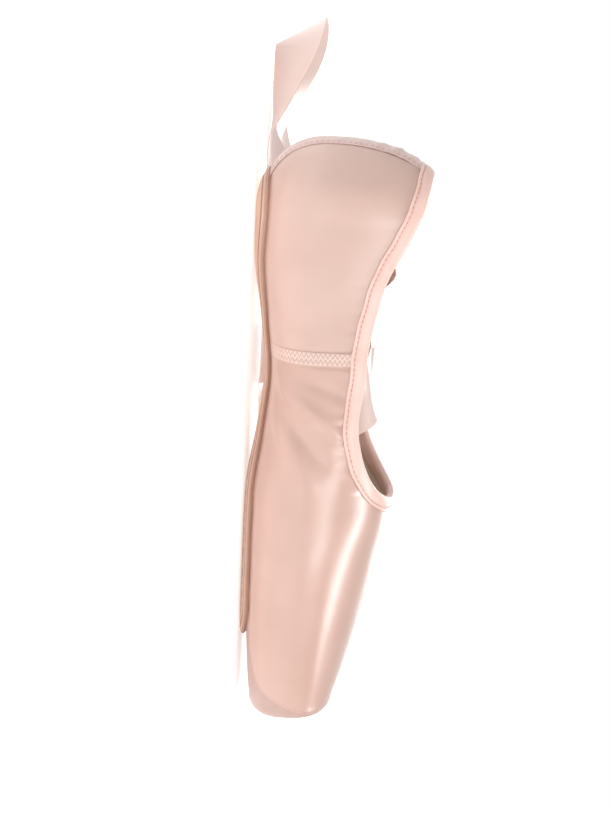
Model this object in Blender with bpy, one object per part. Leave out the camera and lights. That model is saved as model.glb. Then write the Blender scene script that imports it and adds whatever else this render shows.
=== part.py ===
"""A pointe shoe, empty and unbent, standing on its sole.

Metres, +Z up, +Y from the heel to the toe, +X to the wearer's right. The origin is on the floor, in the
middle of the shoe's length and width. A section plane, called a walk here, starts at the back seam, fans
round the heel, goes straight along the foot, and turns over the edge of the platform to its centre.
"""

import math
from collections import namedtuple
from functools import lru_cache

import bmesh
import bpy
from mathutils import Vector

# Driving sizes
LENGTH = 0.240
BALL_WIDTH = 0.080
HEEL_WIDTH = 0.058
INSTEP_HEIGHT = 0.0605
HEEL_HEIGHT = 0.070
ARCH_LIFT = 0.006
TOE_SPRING = 0.0025
VAMP_LENGTH = 0.093
THROAT_LENGTH = 0.046
EDGE_RADIUS = 0.0055
PLATFORM_DOME = 0.0006

# Walls and layers
GAP = 0.0003
SOLE_GAP = 0.0004
QUARTER_WALL = 0.0015
BOX_WALL = 0.0030
MARGIN_WALL = 0.0012
SOLE_THICKNESS = 0.0024
SOLE_EDGE_THICKNESS = 0.0013
GROUND_OFF = 0.0002
INSOLE_THICKNESS = 0.0015
TAPE_THICKNESS = 0.0008
TAPE_DROP = 0.0055
TAPE_SLACK = 0.0003
STRIP_THICKNESS = 0.0007
STRIP_WIDTH = 0.018
SEAM_WIDTH = 0.005
SEAM_RISE = 0.0003

# The outsole and the edge of the upper that is turned in above it
SOLE_WIDTH = 0.051
SOLE_HEEL_INSET = 0.013
SOLE_TOE_INSET = 0.030
TURNED_IN = 0.009
INSOLE_SHARE = 0.74
INSOLE_TOE_CLEARANCE = 0.003

# The ribbons
RIBBON_WIDTH = 0.025
RIBBON_THICKNESS = 0.0006
RIBBON_STEP = 0.0065
RIBBON_OFF_FLOOR = 0.0001

# Shares of the length: the fan's axis, the side seam and where the box stiffens
FAN_AT = 0.125
SEAM_AT = 0.35
BOX_FROM, BOX_TO = 0.58, 0.78

# The last's sections. along is a share of the length, width of the ball's width. The crown, where the
# closed last would end, is instep times the instep height plus heel times the heel height. widest is a
# share of the section's height, and low and high say how square the section is below and above that.
Section = namedtuple("Section", "along width instep heel widest low high")
SECTIONS = (
    Section(0.000, 0.725, 0.00, 1.12, 0.37, 2.4, 2.1),
    Section(0.125, 0.725, 0.00, 1.22, 0.32, 2.6, 2.2),
    Section(0.220, 0.735, 0.15, 1.04, 0.32, 2.6, 2.2),
    Section(0.330, 0.775, 0.45, 0.72, 0.33, 2.6, 2.2),
    Section(0.420, 0.820, 0.75, 0.40, 0.34, 2.7, 2.2),
    Section(0.500, 0.880, 0.94, 0.15, 0.35, 2.8, 2.2),
    Section(0.610, 0.960, 1.00, 0.00, 0.36, 3.0, 2.2),
    Section(0.700, 1.000, 0.93, 0.00, 0.38, 3.1, 2.2),
    Section(0.800, 0.955, 0.84, 0.00, 0.40, 3.1, 2.3),
    Section(0.900, 0.840, 0.74, 0.00, 0.43, 3.0, 2.5),
    Section(0.980, 0.715, 0.65, 0.00, 0.46, 2.9, 2.7),
)

# How far the underside stands off the floor, as shares of the arch's lift and of the toe's spring
Profile = namedtuple("Profile", "along arch spring")
PROFILES = (
    Profile(0.00, 0.00, 0.00),
    Profile(0.18, 0.00, 0.00),
    Profile(0.30, 0.62, 0.00),
    Profile(0.40, 1.00, 0.00),
    Profile(0.50, 0.60, 0.00),
    Profile(0.60, 0.04, 0.00),
    Profile(0.65, 0.00, 0.00),
    Profile(0.84, 0.00, 0.00),
    Profile(0.92, 0.00, 0.35),
    Profile(1.00, 0.00, 1.00),
)

# The topline at the side, as a share of the section's height. At the back it is the heel's height.
Topline = namedtuple("Topline", "along height")
TOPLINES = (
    Topline(0.000, 0.890),
    Topline(0.125, 0.745),
    Topline(0.250, 0.615),
    Topline(0.350, 0.570),
    Topline(0.450, 0.580),
    Topline(0.610, 0.640),
)

# The outsole's width, as a share of its widest, with a heel seat and a narrow waist
SoleWidth = namedtuple("SoleWidth", "along width")
SOLE_WIDTHS = (
    SoleWidth(0.125, 0.72),
    SoleWidth(0.220, 0.62),
    SoleWidth(0.330, 0.42),
    SoleWidth(0.420, 0.42),
    SoleWidth(0.520, 0.66),
    SoleWidth(0.620, 0.93),
    SoleWidth(0.700, 1.00),
    SoleWidth(0.800, 0.97),
    SoleWidth(0.880, 0.88),
)

# The ribbons' routes, in metres, with the direction of their left edge. Each goes up inside the upper,
# over the topline on the left and down to the floor, where it lies in loose waves. A row on the floor
# says a height of 0, and the ribbon rises there as far as it leans.
Stop = namedtuple("Stop", "x y z side_x side_y side_z")
RIBBON_RIGHT = (
    Stop(0.0298, -0.0105, 0.0310, 0.00, -0.87, -0.48),
    Stop(0.0291, -0.0133, 0.0360, 0.00, -0.87, -0.48),
    Stop(0.0280, -0.0158, 0.0405, 0.00, -0.87, -0.48),
    Stop(0.0263, -0.0180, 0.0445, 0.02, -0.87, -0.45),
    Stop(0.0240, -0.0200, 0.0476, 0.18, -0.87, -0.38),
    Stop(0.0206, -0.0222, 0.0493, 0.40, -0.87, -0.20),
    Stop(0.0120, -0.0268, 0.0487, 0.47, -0.87, 0.00),
    Stop(0.0000, -0.0333, 0.0479, 0.47, -0.87, 0.05),
    Stop(-0.0120, -0.0400, 0.0490, 0.47, -0.87, 0.08),
    Stop(-0.0215, -0.0452, 0.0519, 0.46, -0.87, 0.12),
    Stop(-0.0270, -0.0484, 0.0535, 0.40, -0.87, 0.25),
    Stop(-0.0312, -0.0510, 0.0520, 0.22, -0.87, 0.40),
    Stop(-0.0335, -0.0530, 0.0480, 0.08, -0.88, 0.45),
    Stop(-0.0342, -0.0560, 0.0400, 0.04, -0.92, 0.36),
    Stop(-0.0347, -0.0590, 0.0290, 0.02, -0.95, 0.28),
    Stop(-0.0358, -0.0617, 0.0180, 0.00, -0.97, 0.22),
    Stop(-0.0385, -0.0640, 0.0080, 0.00, -0.98, 0.15),
    Stop(-0.0445, -0.0660, 0.0018, 0.15, -0.98, 0.00),
    Stop(-0.0595, -0.0720, 0.0000, 0.50, -0.80, -0.20),
    Stop(-0.0680, -0.0890, 0.0000, 0.85, -0.15, -0.50),
    Stop(-0.0700, -0.1090, 0.0000, 0.97, 0.00, -0.10),
    Stop(-0.0705, -0.1300, 0.0000, 0.85, -0.10, 0.45),
    Stop(-0.0800, -0.1490, 0.0000, 0.40, -0.40, 0.85),
    Stop(-0.0980, -0.1530, 0.0000, -0.05, -0.50, 0.87),
    Stop(-0.1105, -0.1400, 0.0000, -0.50, -0.20, 0.80),
    Stop(-0.1115, -0.1180, 0.0000, -0.90, 0.00, 0.30),
    Stop(-0.1070, -0.0960, 0.0000, -0.97, 0.10, -0.15),
    Stop(-0.1090, -0.0740, 0.0000, -0.75, 0.00, -0.60),
    Stop(-0.1205, -0.0585, 0.0000, -0.35, -0.45, -0.85),
    Stop(-0.1375, -0.0585, 0.0000, 0.20, -0.50, -0.85),
    Stop(-0.1475, -0.0730, 0.0000, 0.70, -0.10, -0.60),
    Stop(-0.1490, -0.0960, 0.0000, 1.00, 0.00, -0.15),
    Stop(-0.1465, -0.1190, 0.0000, 1.00, 0.10, 0.00),
)
RIBBON_LEFT = (
    Stop(-0.0298, -0.0200, 0.0235, 0.10, -1.00, 0.07),
    Stop(-0.0303, -0.0200, 0.0300, 0.10, -1.00, 0.07),
    Stop(-0.0299, -0.0200, 0.0355, 0.10, -1.00, 0.07),
    Stop(-0.0281, -0.0200, 0.0405, 0.10, -1.00, 0.07),
    Stop(-0.0271, -0.0200, 0.0445, 0.10, -1.00, 0.07),
    Stop(-0.0274, -0.0200, 0.0480, 0.10, -1.00, 0.07),
    Stop(-0.0302, -0.0200, 0.0497, 0.10, -1.00, 0.07),
    Stop(-0.0330, -0.0200, 0.0480, 0.10, -1.00, 0.07),
    Stop(-0.0345, -0.0200, 0.0442, 0.10, -1.00, 0.07),
    Stop(-0.0353, -0.0200, 0.0380, 0.10, -1.00, 0.05),
    Stop(-0.0358, -0.0200, 0.0280, 0.08, -1.00, 0.03),
    Stop(-0.0366, -0.0200, 0.0175, 0.05, -1.00, 0.00),
    Stop(-0.0392, -0.0200, 0.0075, 0.00, -1.00, 0.00),
    Stop(-0.0455, -0.0190, 0.0018, -0.10, -1.00, 0.00),
    Stop(-0.0610, -0.0130, 0.0000, -0.45, -0.85, 0.20),
    Stop(-0.0725, 0.0030, 0.0000, -0.75, -0.35, 0.50),
    Stop(-0.0760, 0.0240, 0.0000, -0.92, 0.00, 0.30),
    Stop(-0.0750, 0.0470, 0.0000, -0.98, 0.00, -0.10),
    Stop(-0.0765, 0.0690, 0.0000, -0.90, 0.00, -0.45),
    Stop(-0.0870, 0.0880, 0.0000, -0.45, -0.40, -0.80),
    Stop(-0.1040, 0.0910, 0.0000, 0.00, -0.50, -0.87),
    Stop(-0.1155, 0.0780, 0.0000, 0.50, -0.30, -0.80),
    Stop(-0.1170, 0.0560, 0.0000, 0.92, 0.00, -0.35),
    Stop(-0.1135, 0.0340, 0.0000, 0.97, 0.00, 0.15),
    Stop(-0.1145, 0.0130, 0.0000, 0.75, 0.00, 0.60),
    Stop(-0.1255, -0.0025, 0.0000, 0.35, -0.45, 0.85),
    Stop(-0.1430, -0.0020, 0.0000, -0.25, -0.50, 0.85),
    Stop(-0.1525, 0.0140, 0.0000, -0.70, -0.10, 0.65),
    Stop(-0.1530, 0.0370, 0.0000, -0.95, 0.00, 0.25),
    Stop(-0.1490, 0.0600, 0.0000, -1.00, 0.00, 0.00),
    Stop(-0.1475, 0.0830, 0.0000, -1.00, 0.00, 0.00),
    Stop(-0.1505, 0.1040, 0.0000, -1.00, -0.10, 0.00),
)

# Worked out from the sizes
BODY = LENGTH - GAP - STRIP_THICKNESS
START = GAP + STRIP_THICKNESS - LENGTH / 2
FAN_AXIS = FAN_AT * BODY
EDGE_START = BODY - EDGE_RADIUS - PLATFORM_DOME
EDGE_WALK = EDGE_RADIUS * math.pi / 2
FACE_WALK = 0.02
BACK = FAN_AXIS - FAN_AXIS * math.pi / 2
CENTRE = EDGE_START + EDGE_WALK + FACE_WALK
THROAT = BODY - VAMP_LENGTH
FLOOR_TO_UPPER = SOLE_THICKNESS - GROUND_OFF + SOLE_GAP
SOLE_TOE = BODY - SOLE_TOE_INSET
OPENING_TOE = SOLE_TOE - TURNED_IN
OPENING_ROUND = 0.016
SOLE_ROUND = 0.021
HEEL_SQUARE = 2.2

RIB_STEPS = 96
THINNED_GIRTH = 0.25
CROWDING = 0.2
GIVING_WAY = 1.5
SMALL_WALK = 0.0004
SMALL_GIRTH = 0.004
ON_PLANE = 0.00002
NEARLY_CLOSED = 0.0001

Rib = namedtuple("Rib", "half base crown widest low high out up girth angles turn centre forward")


def smooth(share):
    share = min(1.0, max(0.0, share))
    return share * share * (3 - 2 * share)


def quarter_round(share, square=2.0):
    """0 to 1 along a quarter of a rounded corner, steep at first."""
    share = min(1.0, max(0.0, share))
    return (1 - (1 - share) ** square) ** (1 / square)


def read(table, name, along):
    """A column of a table at this share of the length, on a smooth curve that stays between its rows."""
    rows = [(row.along, getattr(row, name)) for row in table]
    if along <= rows[0][0]:
        return rows[0][1]
    if along >= rows[-1][0]:
        return rows[-1][1]
    steps = [b[0] - a[0] for a, b in zip(rows, rows[1:])]
    rises = [(b[1] - a[1]) / step for a, b, step in zip(rows, rows[1:], steps)]
    slopes = [rises[0]]
    for before, after in zip(rises, rises[1:]):
        both = before * after
        slopes.append(2 * both / (before + after) if both > 0 else 0.0)
    slopes.append(rises[-1])
    place = max(i for i, row in enumerate(rows[:-1]) if row[0] <= along)
    step = steps[place]
    share = (along - rows[place][0]) / step
    low, high = rows[place][1], rows[place + 1][1]
    return (
        low * (1 + 2 * share) * (1 - share) ** 2
        + high * share**2 * (3 - 2 * share)
        + step * slopes[place] * share * (1 - share) ** 2
        - step * slopes[place + 1] * share**2 * (1 - share)
    )


def fan_turn(walk):
    """The angle of a section that fans round the heel: 0 straight ahead of it, a right angle at the back."""
    return max(0.0, (FAN_AXIS - walk) / FAN_AXIS)


def along_of(walk):
    if walk < FAN_AXIS:
        return FAN_AT * (1 - math.sin(min(fan_turn(walk), math.pi - fan_turn(walk))))
    return min(walk, EDGE_START) / BODY


def heel_reach(turn, side, back):
    """How far a rounded heel reaches from the fan's axis at this turn."""
    across = (abs(math.cos(turn)) / side) ** HEEL_SQUARE
    behind = (abs(math.sin(turn)) / back) ** HEEL_SQUARE
    return (across + behind) ** (-1 / HEEL_SQUARE)


@lru_cache(maxsize=None)
def rib(walk):
    """Half a section of the last, from under the sole to the crown, with its girth measured along it."""
    along = along_of(walk)
    turn = fan_turn(walk)
    half = read(SECTIONS, "width", along) * BALL_WIDTH / 2
    if turn > 0:
        half = heel_reach(turn, HEEL_WIDTH / 2, FAN_AXIS)
    else:
        heel_share = read(SECTIONS, "width", FAN_AT) * BALL_WIDTH / HEEL_WIDTH
        half *= 1 + (1 / heel_share - 1) * (1 - smooth((along - FAN_AT) / (SEAM_AT - FAN_AT)))
    base = FLOOR_TO_UPPER + ARCH_LIFT * read(PROFILES, "arch", along)
    base += TOE_SPRING * read(PROFILES, "spring", along)
    crown = INSTEP_HEIGHT * read(SECTIONS, "instep", along) + HEEL_HEIGHT * read(SECTIONS, "heel", along)
    forward = 0.0
    scale = 1.0
    if walk > EDGE_START:
        edge = min(math.pi / 2, (walk - EDGE_START) / EDGE_RADIUS)
        inset = EDGE_RADIUS * (1 - math.cos(edge))
        forward = EDGE_RADIUS * math.sin(edge)
        half -= inset
        base += inset
        crown -= inset
    if walk > EDGE_START + EDGE_WALK:
        scale = max(NEARLY_CLOSED, 1 - (walk - EDGE_START - EDGE_WALK) / FACE_WALK)
        forward += PLATFORM_DOME * (1 - scale**2)
    widest = base + (crown - base) * read(SECTIONS, "widest", along)
    low = read(SECTIONS, "low", along)
    high = read(SECTIONS, "high", along)
    middle = (base + crown) / 2
    angles, out, up = [], [], []
    for step in range(RIB_STEPS + 1):
        angle = math.pi * (step / RIB_STEPS - 0.5)
        level, slope = max(0.0, math.cos(angle)), abs(math.sin(angle))
        square = low if angle < 0 else high
        rise = (crown - widest) * slope ** (2 / high) if angle > 0 else (base - widest) * slope ** (2 / low)
        angles.append(angle)
        out.append(scale * half * level ** (2 / square) if 0 < step < RIB_STEPS else 0.0)
        up.append(middle + scale * (widest + rise - middle))
    girth = [0.0]
    for step in range(RIB_STEPS):
        girth.append(girth[-1] + math.hypot(out[step + 1] - out[step], up[step + 1] - up[step]))
    centre = FAN_AXIS if turn > 0 else min(walk, EDGE_START)
    return Rib(half, base, crown, widest, low, high, out, up, girth, angles, turn, centre, forward)


def between(marks, values, mark):
    """The value that goes with this mark, on straight lines through the listed ones."""
    low, high = 0, len(marks) - 1
    while high - low > 1:
        middle = (low + high) // 2
        if marks[middle] <= mark:
            low = middle
        else:
            high = middle
    span = marks[high] - marks[low]
    share = (mark - marks[low]) / span if span > 0 else 0.0
    return values[low] + (values[high] - values[low]) * share


def on_last(walk, girth):
    """The last's surface on the +X side. Its girth goes from 0 under the sole to 1 at the crown."""
    side = 1
    if girth > 1:
        girth, side = 2 - girth, -1
    if girth < 0:
        girth, side = -girth, -1
    here = rib(walk)
    reached = girth * here.girth[-1]
    out = between(here.girth, here.out, reached)
    up = between(here.girth, here.up, reached)
    ahead = here.centre + here.forward - out * math.sin(here.turn)
    return Vector((side * out * math.cos(here.turn), START + ahead, up))


def slopes_at(walk, girth):
    """How the surface moves along the walk and along the girth, and which way it faces."""
    onward = (on_last(walk + SMALL_WALK, girth) - on_last(walk - SMALL_WALK, girth)) / (2 * SMALL_WALK)
    upward = (on_last(walk, girth + SMALL_GIRTH) - on_last(walk, girth - SMALL_GIRTH)) / (2 * SMALL_GIRTH)
    facing = onward.cross(upward)
    if facing.length < ON_PLANE**2:
        facing = Vector((0, 1, 0))
    return onward, upward, facing.normalized()


def girth_at_angle(walk, angle):
    here = rib(walk)
    return between(here.angles, here.girth, angle) / here.girth[-1]


def girth_under(walk, out):
    """The girth at which the underside is this far out from its centre line."""
    here = rib(walk)
    share = min(1.0, max(0.0, out) / here.half)
    return girth_at_angle(walk, -math.acos(share ** (here.low / 2)))


def sole_reach(walk):
    """The outsole's half width, or how far it reaches from the fan's axis round the heel."""
    side = SOLE_WIDTH / 2 * read(SOLE_WIDTHS, "width", max(FAN_AT, along_of(walk)))
    if walk < FAN_AXIS:
        return heel_reach(fan_turn(walk), side, FAN_AXIS - SOLE_HEEL_INSET)
    return side * quarter_round((SOLE_TOE - walk) / SOLE_ROUND, 2.3)


def turned_in_to(walk):
    """How far from the centre line the upper's turned-in edge ends. It is narrower at the outsole's waist."""
    side = read(SOLE_WIDTHS, "width", max(FAN_AT, along_of(walk))) * (SOLE_WIDTH / 2 - TURNED_IN)
    if walk < FAN_AXIS:
        return heel_reach(fan_turn(walk), side, FAN_AXIS - SOLE_HEEL_INSET - TURNED_IN / 2)
    return side


def opening_reach(walk):
    """The half width of the hole between the turned-in edges, with a round end towards the toe."""
    return turned_in_to(walk) * quarter_round((OPENING_TOE - walk) / OPENING_ROUND)


def bottom_girth(walk):
    """Where the upper ends underneath. It is closed in front of its opening."""
    if walk >= OPENING_TOE:
        return 0.0
    return girth_under(walk, opening_reach(walk))


def top_girth(walk):
    """Where the upper ends at the topline. It is closed in front of the throat."""
    if walk >= THROAT:
        return 1.0
    here = rib(walk)
    height = here.base + (here.crown - here.base) * read(TOPLINES, "height", along_of(walk))
    share = (height - here.widest) / (here.crown - here.widest)
    side = math.asin(min(1.0, share) ** (here.high / 2))
    open_by = (math.pi / 2 - side) * quarter_round((THROAT - walk) / THROAT_LENGTH, 2.1)
    return girth_at_angle(walk, math.pi / 2 - open_by)


def wall_at(walk, girth):
    """The box is stiff and thick, the quarters are cloth, and the turned-in edge is thinned."""
    side = QUARTER_WALL + (BOX_WALL - QUARTER_WALL) * smooth((along_of(walk) - BOX_FROM) / (BOX_TO - BOX_FROM))
    toe = smooth((walk - OPENING_TOE) / (EDGE_START - OPENING_TOE))
    thick = max(toe, smooth((girth - girth_under(walk, turned_in_to(walk))) / THINNED_GIRTH))
    return MARGIN_WALL + (side - MARGIN_WALL) * thick


def spread(start, end, count, power=1.0):
    """Walks from start to end, the first left out. A power of 2 crowds them at the start."""
    return [start + (end - start) * (step / count) ** power for step in range(1, count + 1)]


def shell(outer, inner):
    """Half a hollow piece between two grids, mirrored into a whole one that is closed at x = 0."""
    made = bmesh.new()
    grids = []
    for grid in (outer, inner):
        grids.append([[made.verts.new(snapped(point)) for point in row] for row in grid])
    rows, columns = len(outer), len(outer[0])
    for i in range(rows - 1):
        for j in range(columns - 1):
            for grid in grids:
                add_face(made, [grid[i][j], grid[i + 1][j], grid[i + 1][j + 1], grid[i][j + 1]])
    for i in range(rows - 1):
        for j in (0, columns - 1):
            add_face(made, [grids[0][i][j], grids[0][i + 1][j], grids[1][i + 1][j], grids[1][i][j]])
    for j in range(columns - 1):
        for i in (0, rows - 1):
            add_face(made, [grids[0][i][j], grids[0][i][j + 1], grids[1][i][j + 1], grids[1][i][j]])
    return made


def snapped(point):
    return Vector((0.0 if abs(point.x) < ON_PLANE else point.x, point.y, point.z))


def add_face(made, corners):
    """A face, unless it lies in the mirror plane, where the two halves meet."""
    if any(corner.co.x != 0 for corner in corners):
        made.faces.new(corners)


def mirrored(made):
    """The half and its mirror image, welded along the mirror plane."""
    copied = bmesh.ops.duplicate(made, geom=made.verts[:] + made.faces[:])["geom"]
    for item in copied:
        if isinstance(item, bmesh.types.BMVert):
            item.co.x = -item.co.x
    bmesh.ops.remove_doubles(made, verts=made.verts[:], dist=ON_PLANE / 4)
    return made


def finished(name, made, colour, roughness):
    """Closes the mesh's account: faces out, smooth where it is round, one material."""
    bmesh.ops.dissolve_degenerate(made, edges=made.edges[:], dist=ON_PLANE / 4)
    bmesh.ops.recalc_face_normals(made, faces=made.faces[:])
    mesh = bpy.data.meshes.new(name)
    made.to_mesh(mesh)
    made.free()
    mesh.shade_smooth()
    mesh.set_sharp_from_angle(angle=math.radians(40))
    piece = bpy.data.objects.new(name, mesh)
    bpy.context.scene.collection.objects.link(piece)
    material = bpy.data.materials.new(name)
    material.use_nodes = True
    shader = material.node_tree.nodes["Principled BSDF"]
    shader.inputs["Base Color"].default_value = (*colour, 1)
    shader.inputs["Roughness"].default_value = roughness
    shader.inputs["Metallic"].default_value = 0.0
    mesh.materials.append(material)
    return piece


def seam_rise(walk, girth):
    """The side seam is a band that stands a little proud of the satin, up to the tape."""
    in_band = abs(walk - SEAM_AT * BODY) < SEAM_WIDTH / 2
    under_tape = top_girth(walk) - (TAPE_DROP + GAP) / rib(walk).girth[-1]
    return SEAM_RISE if in_band and girth < under_tape else 0.0


def upper_walks():
    """The upper's sections from the back to the platform's centre, close together where its edges turn."""
    seam = SEAM_AT * BODY
    step = SEAM_RISE
    walks = [BACK] + spread(BACK, FAN_AXIS, 8)
    walks += spread(FAN_AXIS, seam - SEAM_WIDTH / 2 - step, 6)
    walks += [seam - SEAM_WIDTH / 2 + step, seam + SEAM_WIDTH / 2 - step, seam + SEAM_WIDTH / 2 + step]
    throat_side = THROAT - THROAT_LENGTH / 2
    walks += spread(walks[-1], throat_side, 6)
    walks += [THROAT - back for back in reversed(spread(0, THROAT_LENGTH / 2, 6, 2))][1:] + [THROAT]
    opening_side = OPENING_TOE - OPENING_ROUND
    walks += spread(THROAT, opening_side, 4)
    walks += [OPENING_TOE - back for back in reversed(spread(0, OPENING_ROUND, 4, 2))][1:] + [OPENING_TOE]
    walks += spread(OPENING_TOE, EDGE_START, 3)
    walks += spread(EDGE_START, EDGE_START + EDGE_WALK, 3)
    walks += spread(EDGE_START + EDGE_WALK, CENTRE, 3)
    return walks


def column_girth(walk, even):
    """The girth of one of the upper's columns, even going from 0 at its lower edge to 1 at the topline.

    Columns lie closer at the edges. Near a round end of the opening or the throat only the columns next
    to it give way, so that the others run on smoothly.
    """
    share = even - CROWDING * math.sin(2 * math.pi * even) / (2 * math.pi)
    near_opening = 1 - smooth((OPENING_TOE - walk) / (3 * OPENING_ROUND))
    near_throat = 1 - smooth((THROAT - walk) / THROAT_LENGTH)
    low = bottom_girth(walk) * (1 - share) ** (1 + GIVING_WAY * near_opening)
    high = (1 - top_girth(walk)) * share ** (1 + GIVING_WAY * near_throat)
    return share + low - high


def make_upper():
    columns = 18
    outer, inner = [], []
    for walk in upper_walks():
        outside, inside = [], []
        for column in range(columns + 1):
            girth = column_girth(walk, column / columns)
            point = on_last(walk, girth)
            facing = slopes_at(walk, girth)[2]
            outside.append(point + facing * seam_rise(walk, girth))
            inside.append(point - facing * wall_at(walk, girth))
        outer.append(outside)
        inner.append(inside)
    return finished("upper", mirrored(shell(outer, inner)), (0.81, 0.60, 0.53), 0.35)


def rim_places():
    """(walk, girth, direction away from the opening) at each of the upper's sections behind the throat."""
    walks = [walk for walk in reversed(upper_walks()) if walk <= THROAT]
    points = [on_last(walk, top_girth(walk)) for walk in walks]
    places = []
    for i, walk in enumerate(walks):
        before = points[i - 1] if i else mirror(points[1])
        after = points[i + 1] if i + 1 < len(points) else mirror(points[-2])
        girth = top_girth(walk)
        facing = slopes_at(walk, girth)[2]
        places.append((walk, girth, facing.cross(after - before).normalized()))
    return places


def mirror(point):
    return Vector((-point.x, point.y, point.z))


def from_rim(place, below, over, inside=False):
    """A point this far below the topline and this far over the upper's outside, or past its inside."""
    walk, girth, away = place
    onward, upward, facing = slopes_at(walk, girth)
    a, b, c = onward.dot(onward), onward.dot(upward), upward.dot(upward)
    p, q = away.dot(onward), away.dot(upward)
    size = a * c - b * b
    walk += below * (p * c - q * b) / size
    girth += below * (q * a - p * b) / size
    facing = slopes_at(walk, girth)[2]
    if inside:
        over = -wall_at(walk, min(1.0, girth)) - over
    return on_last(walk, girth) + facing * over


def make_topline_binding():
    """A tape folded over the topline, its ends level outside and inside."""
    near, far = GAP, GAP + TAPE_THICKNESS
    made_rows = []
    for place in rim_places():
        outside = [(TAPE_DROP / 2, near), (TAPE_DROP, near), (TAPE_DROP, far)]
        outside += [(TAPE_DROP / 2, far), (-near, far), (-far, near)]
        inside = [(-far, near), (-near, far), (TAPE_DROP, far), (TAPE_DROP, near), (-near, near)]
        inside = [(below, over + TAPE_SLACK) for below, over in inside]
        row = [from_rim(place, below, over) for below, over in outside]
        row += [from_rim(place, below, over, inside=True) for below, over in inside]
        row.append(from_rim(place, -near, near))
        made_rows.append(row)
    made = bmesh.new()
    rows = [[made.verts.new(snapped(point)) for point in row] for row in made_rows]
    count = len(rows[0])
    for first, second in zip(rows, rows[1:]):
        for j in range(count):
            k = (j + 1) % count
            add_face(made, [first[j], second[j], second[k], first[k]])
    return finished("topline_binding", mirrored(made), (0.87, 0.68, 0.62), 0.4)


def walk_at_side(girth, x):
    """The section near the back that is this far from the shoe's middle plane at this girth."""
    low, high = BACK, FAN_AXIS
    for _ in range(30):
        middle = (low + high) / 2
        if on_last(middle, girth).x < x:
            low = middle
        else:
            high = middle
    return low


def make_heel_strip():
    """The strip over the back seam, from the outsole's end up to the tape."""
    rows, columns = 12, 3
    outer, inner = [], []
    for row in range(rows + 1):
        outside, inside = [], []
        for column in range(columns + 1):
            x = STRIP_WIDTH / 2 * column / columns
            walk = walk_at_side(top_girth(BACK), x)
            clear = (TAPE_DROP + 2 * GAP) / rib(walk).girth[-1]
            high = top_girth(walk) - clear
            low = girth_under(walk, sole_reach(walk) + 2 * GAP)
            girth = low + (high - low) * row / rows
            walk = walk_at_side(girth, x)
            point = on_last(walk, girth)
            facing = slopes_at(walk, girth)[2]
            outside.append(point + facing * (GAP + STRIP_THICKNESS))
            inside.append(point + facing * GAP)
        outer.append(outside)
        inner.append(inside)
    return finished("heel_strip", mirrored(shell(outer, inner)), (0.67, 0.49, 0.43), 0.45)


def under_last(walk, out, depth):
    """A point on the underside, this far out from the centre line and this deep inside the last."""
    if out < ON_PLANE:
        walk = max(walk, FAN_AXIS)
    point, facing = underside(walk, out)
    return point - facing * depth


def underside(walk, out):
    def at(walk, out):
        here = rib(walk)
        share = min(1.0, abs(out) / here.half)
        up = here.widest - (here.widest - here.base) * (1 - share**here.low) ** (1 / here.low)
        ahead = here.centre - abs(out) * math.sin(here.turn)
        return Vector((out * math.cos(here.turn), START + ahead, up))

    onward = at(walk + SMALL_WALK, out) - at(walk - SMALL_WALK, out)
    outward = at(walk, out + SMALL_WALK) - at(walk, out - SMALL_WALK)
    if walk <= FAN_AXIS and out < ON_PLANE:
        onward = at(FAN_AXIS + SMALL_WALK, 0) - at(FAN_AXIS, 0)
    return at(walk, out), onward.cross(outward).normalized()


def sole_walks(toe, rounding):
    walks = [BACK] + spread(BACK, FAN_AXIS, 6)
    walks += spread(FAN_AXIS, toe - rounding, 12)
    walks += [toe - back for back in reversed(spread(0, rounding, 5, 2))][1:] + [toe]
    return walks


def make_outsole():
    """Leather, thinned towards its edge, and flat where it stands on the floor."""
    columns = 5
    above, below = [], []
    for walk in sole_walks(SOLE_TOE, SOLE_ROUND):
        reach = sole_reach(walk)
        upside, underside_row = [], []
        for column in range(columns + 1):
            share = column / columns
            thickness = SOLE_THICKNESS + (SOLE_EDGE_THICKNESS - SOLE_THICKNESS) * share**4
            upside.append(under_last(walk, reach * share, -SOLE_GAP))
            tread = under_last(walk, reach * share, -SOLE_GAP - thickness)
            tread.z = max(0.0, tread.z)
            underside_row.append(tread)
        above.append(upside)
        below.append(underside_row)
    return finished("outsole", mirrored(shell(above, below)), (0.67, 0.48, 0.37), 0.6)


def insole_reach(walk):
    side = INSOLE_SHARE * (rib(max(walk, FAN_AXIS)).half - QUARTER_WALL)
    if walk < FAN_AXIS:
        return heel_reach(fan_turn(walk), side, INSOLE_SHARE * (FAN_AXIS - QUARTER_WALL))
    return side * quarter_round((insole_toe() - walk) / SOLE_ROUND, 3.0)


def insole_toe():
    return EDGE_START - INSOLE_TOE_CLEARANCE


def make_insole():
    columns = 5
    above, below = [], []
    for walk in sole_walks(insole_toe(), SOLE_ROUND):
        reach = insole_reach(walk)
        upside, downside = [], []
        for column in range(columns + 1):
            out = reach * column / columns
            seat = wall_at(walk, girth_under(walk, out)) + SOLE_GAP
            downside.append(under_last(walk, out, seat))
            upside.append(under_last(walk, out, seat + INSOLE_THICKNESS))
        above.append(upside)
        below.append(downside)
    return finished("insole", mirrored(shell(above, below)), (0.75, 0.62, 0.50), 0.8)


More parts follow.
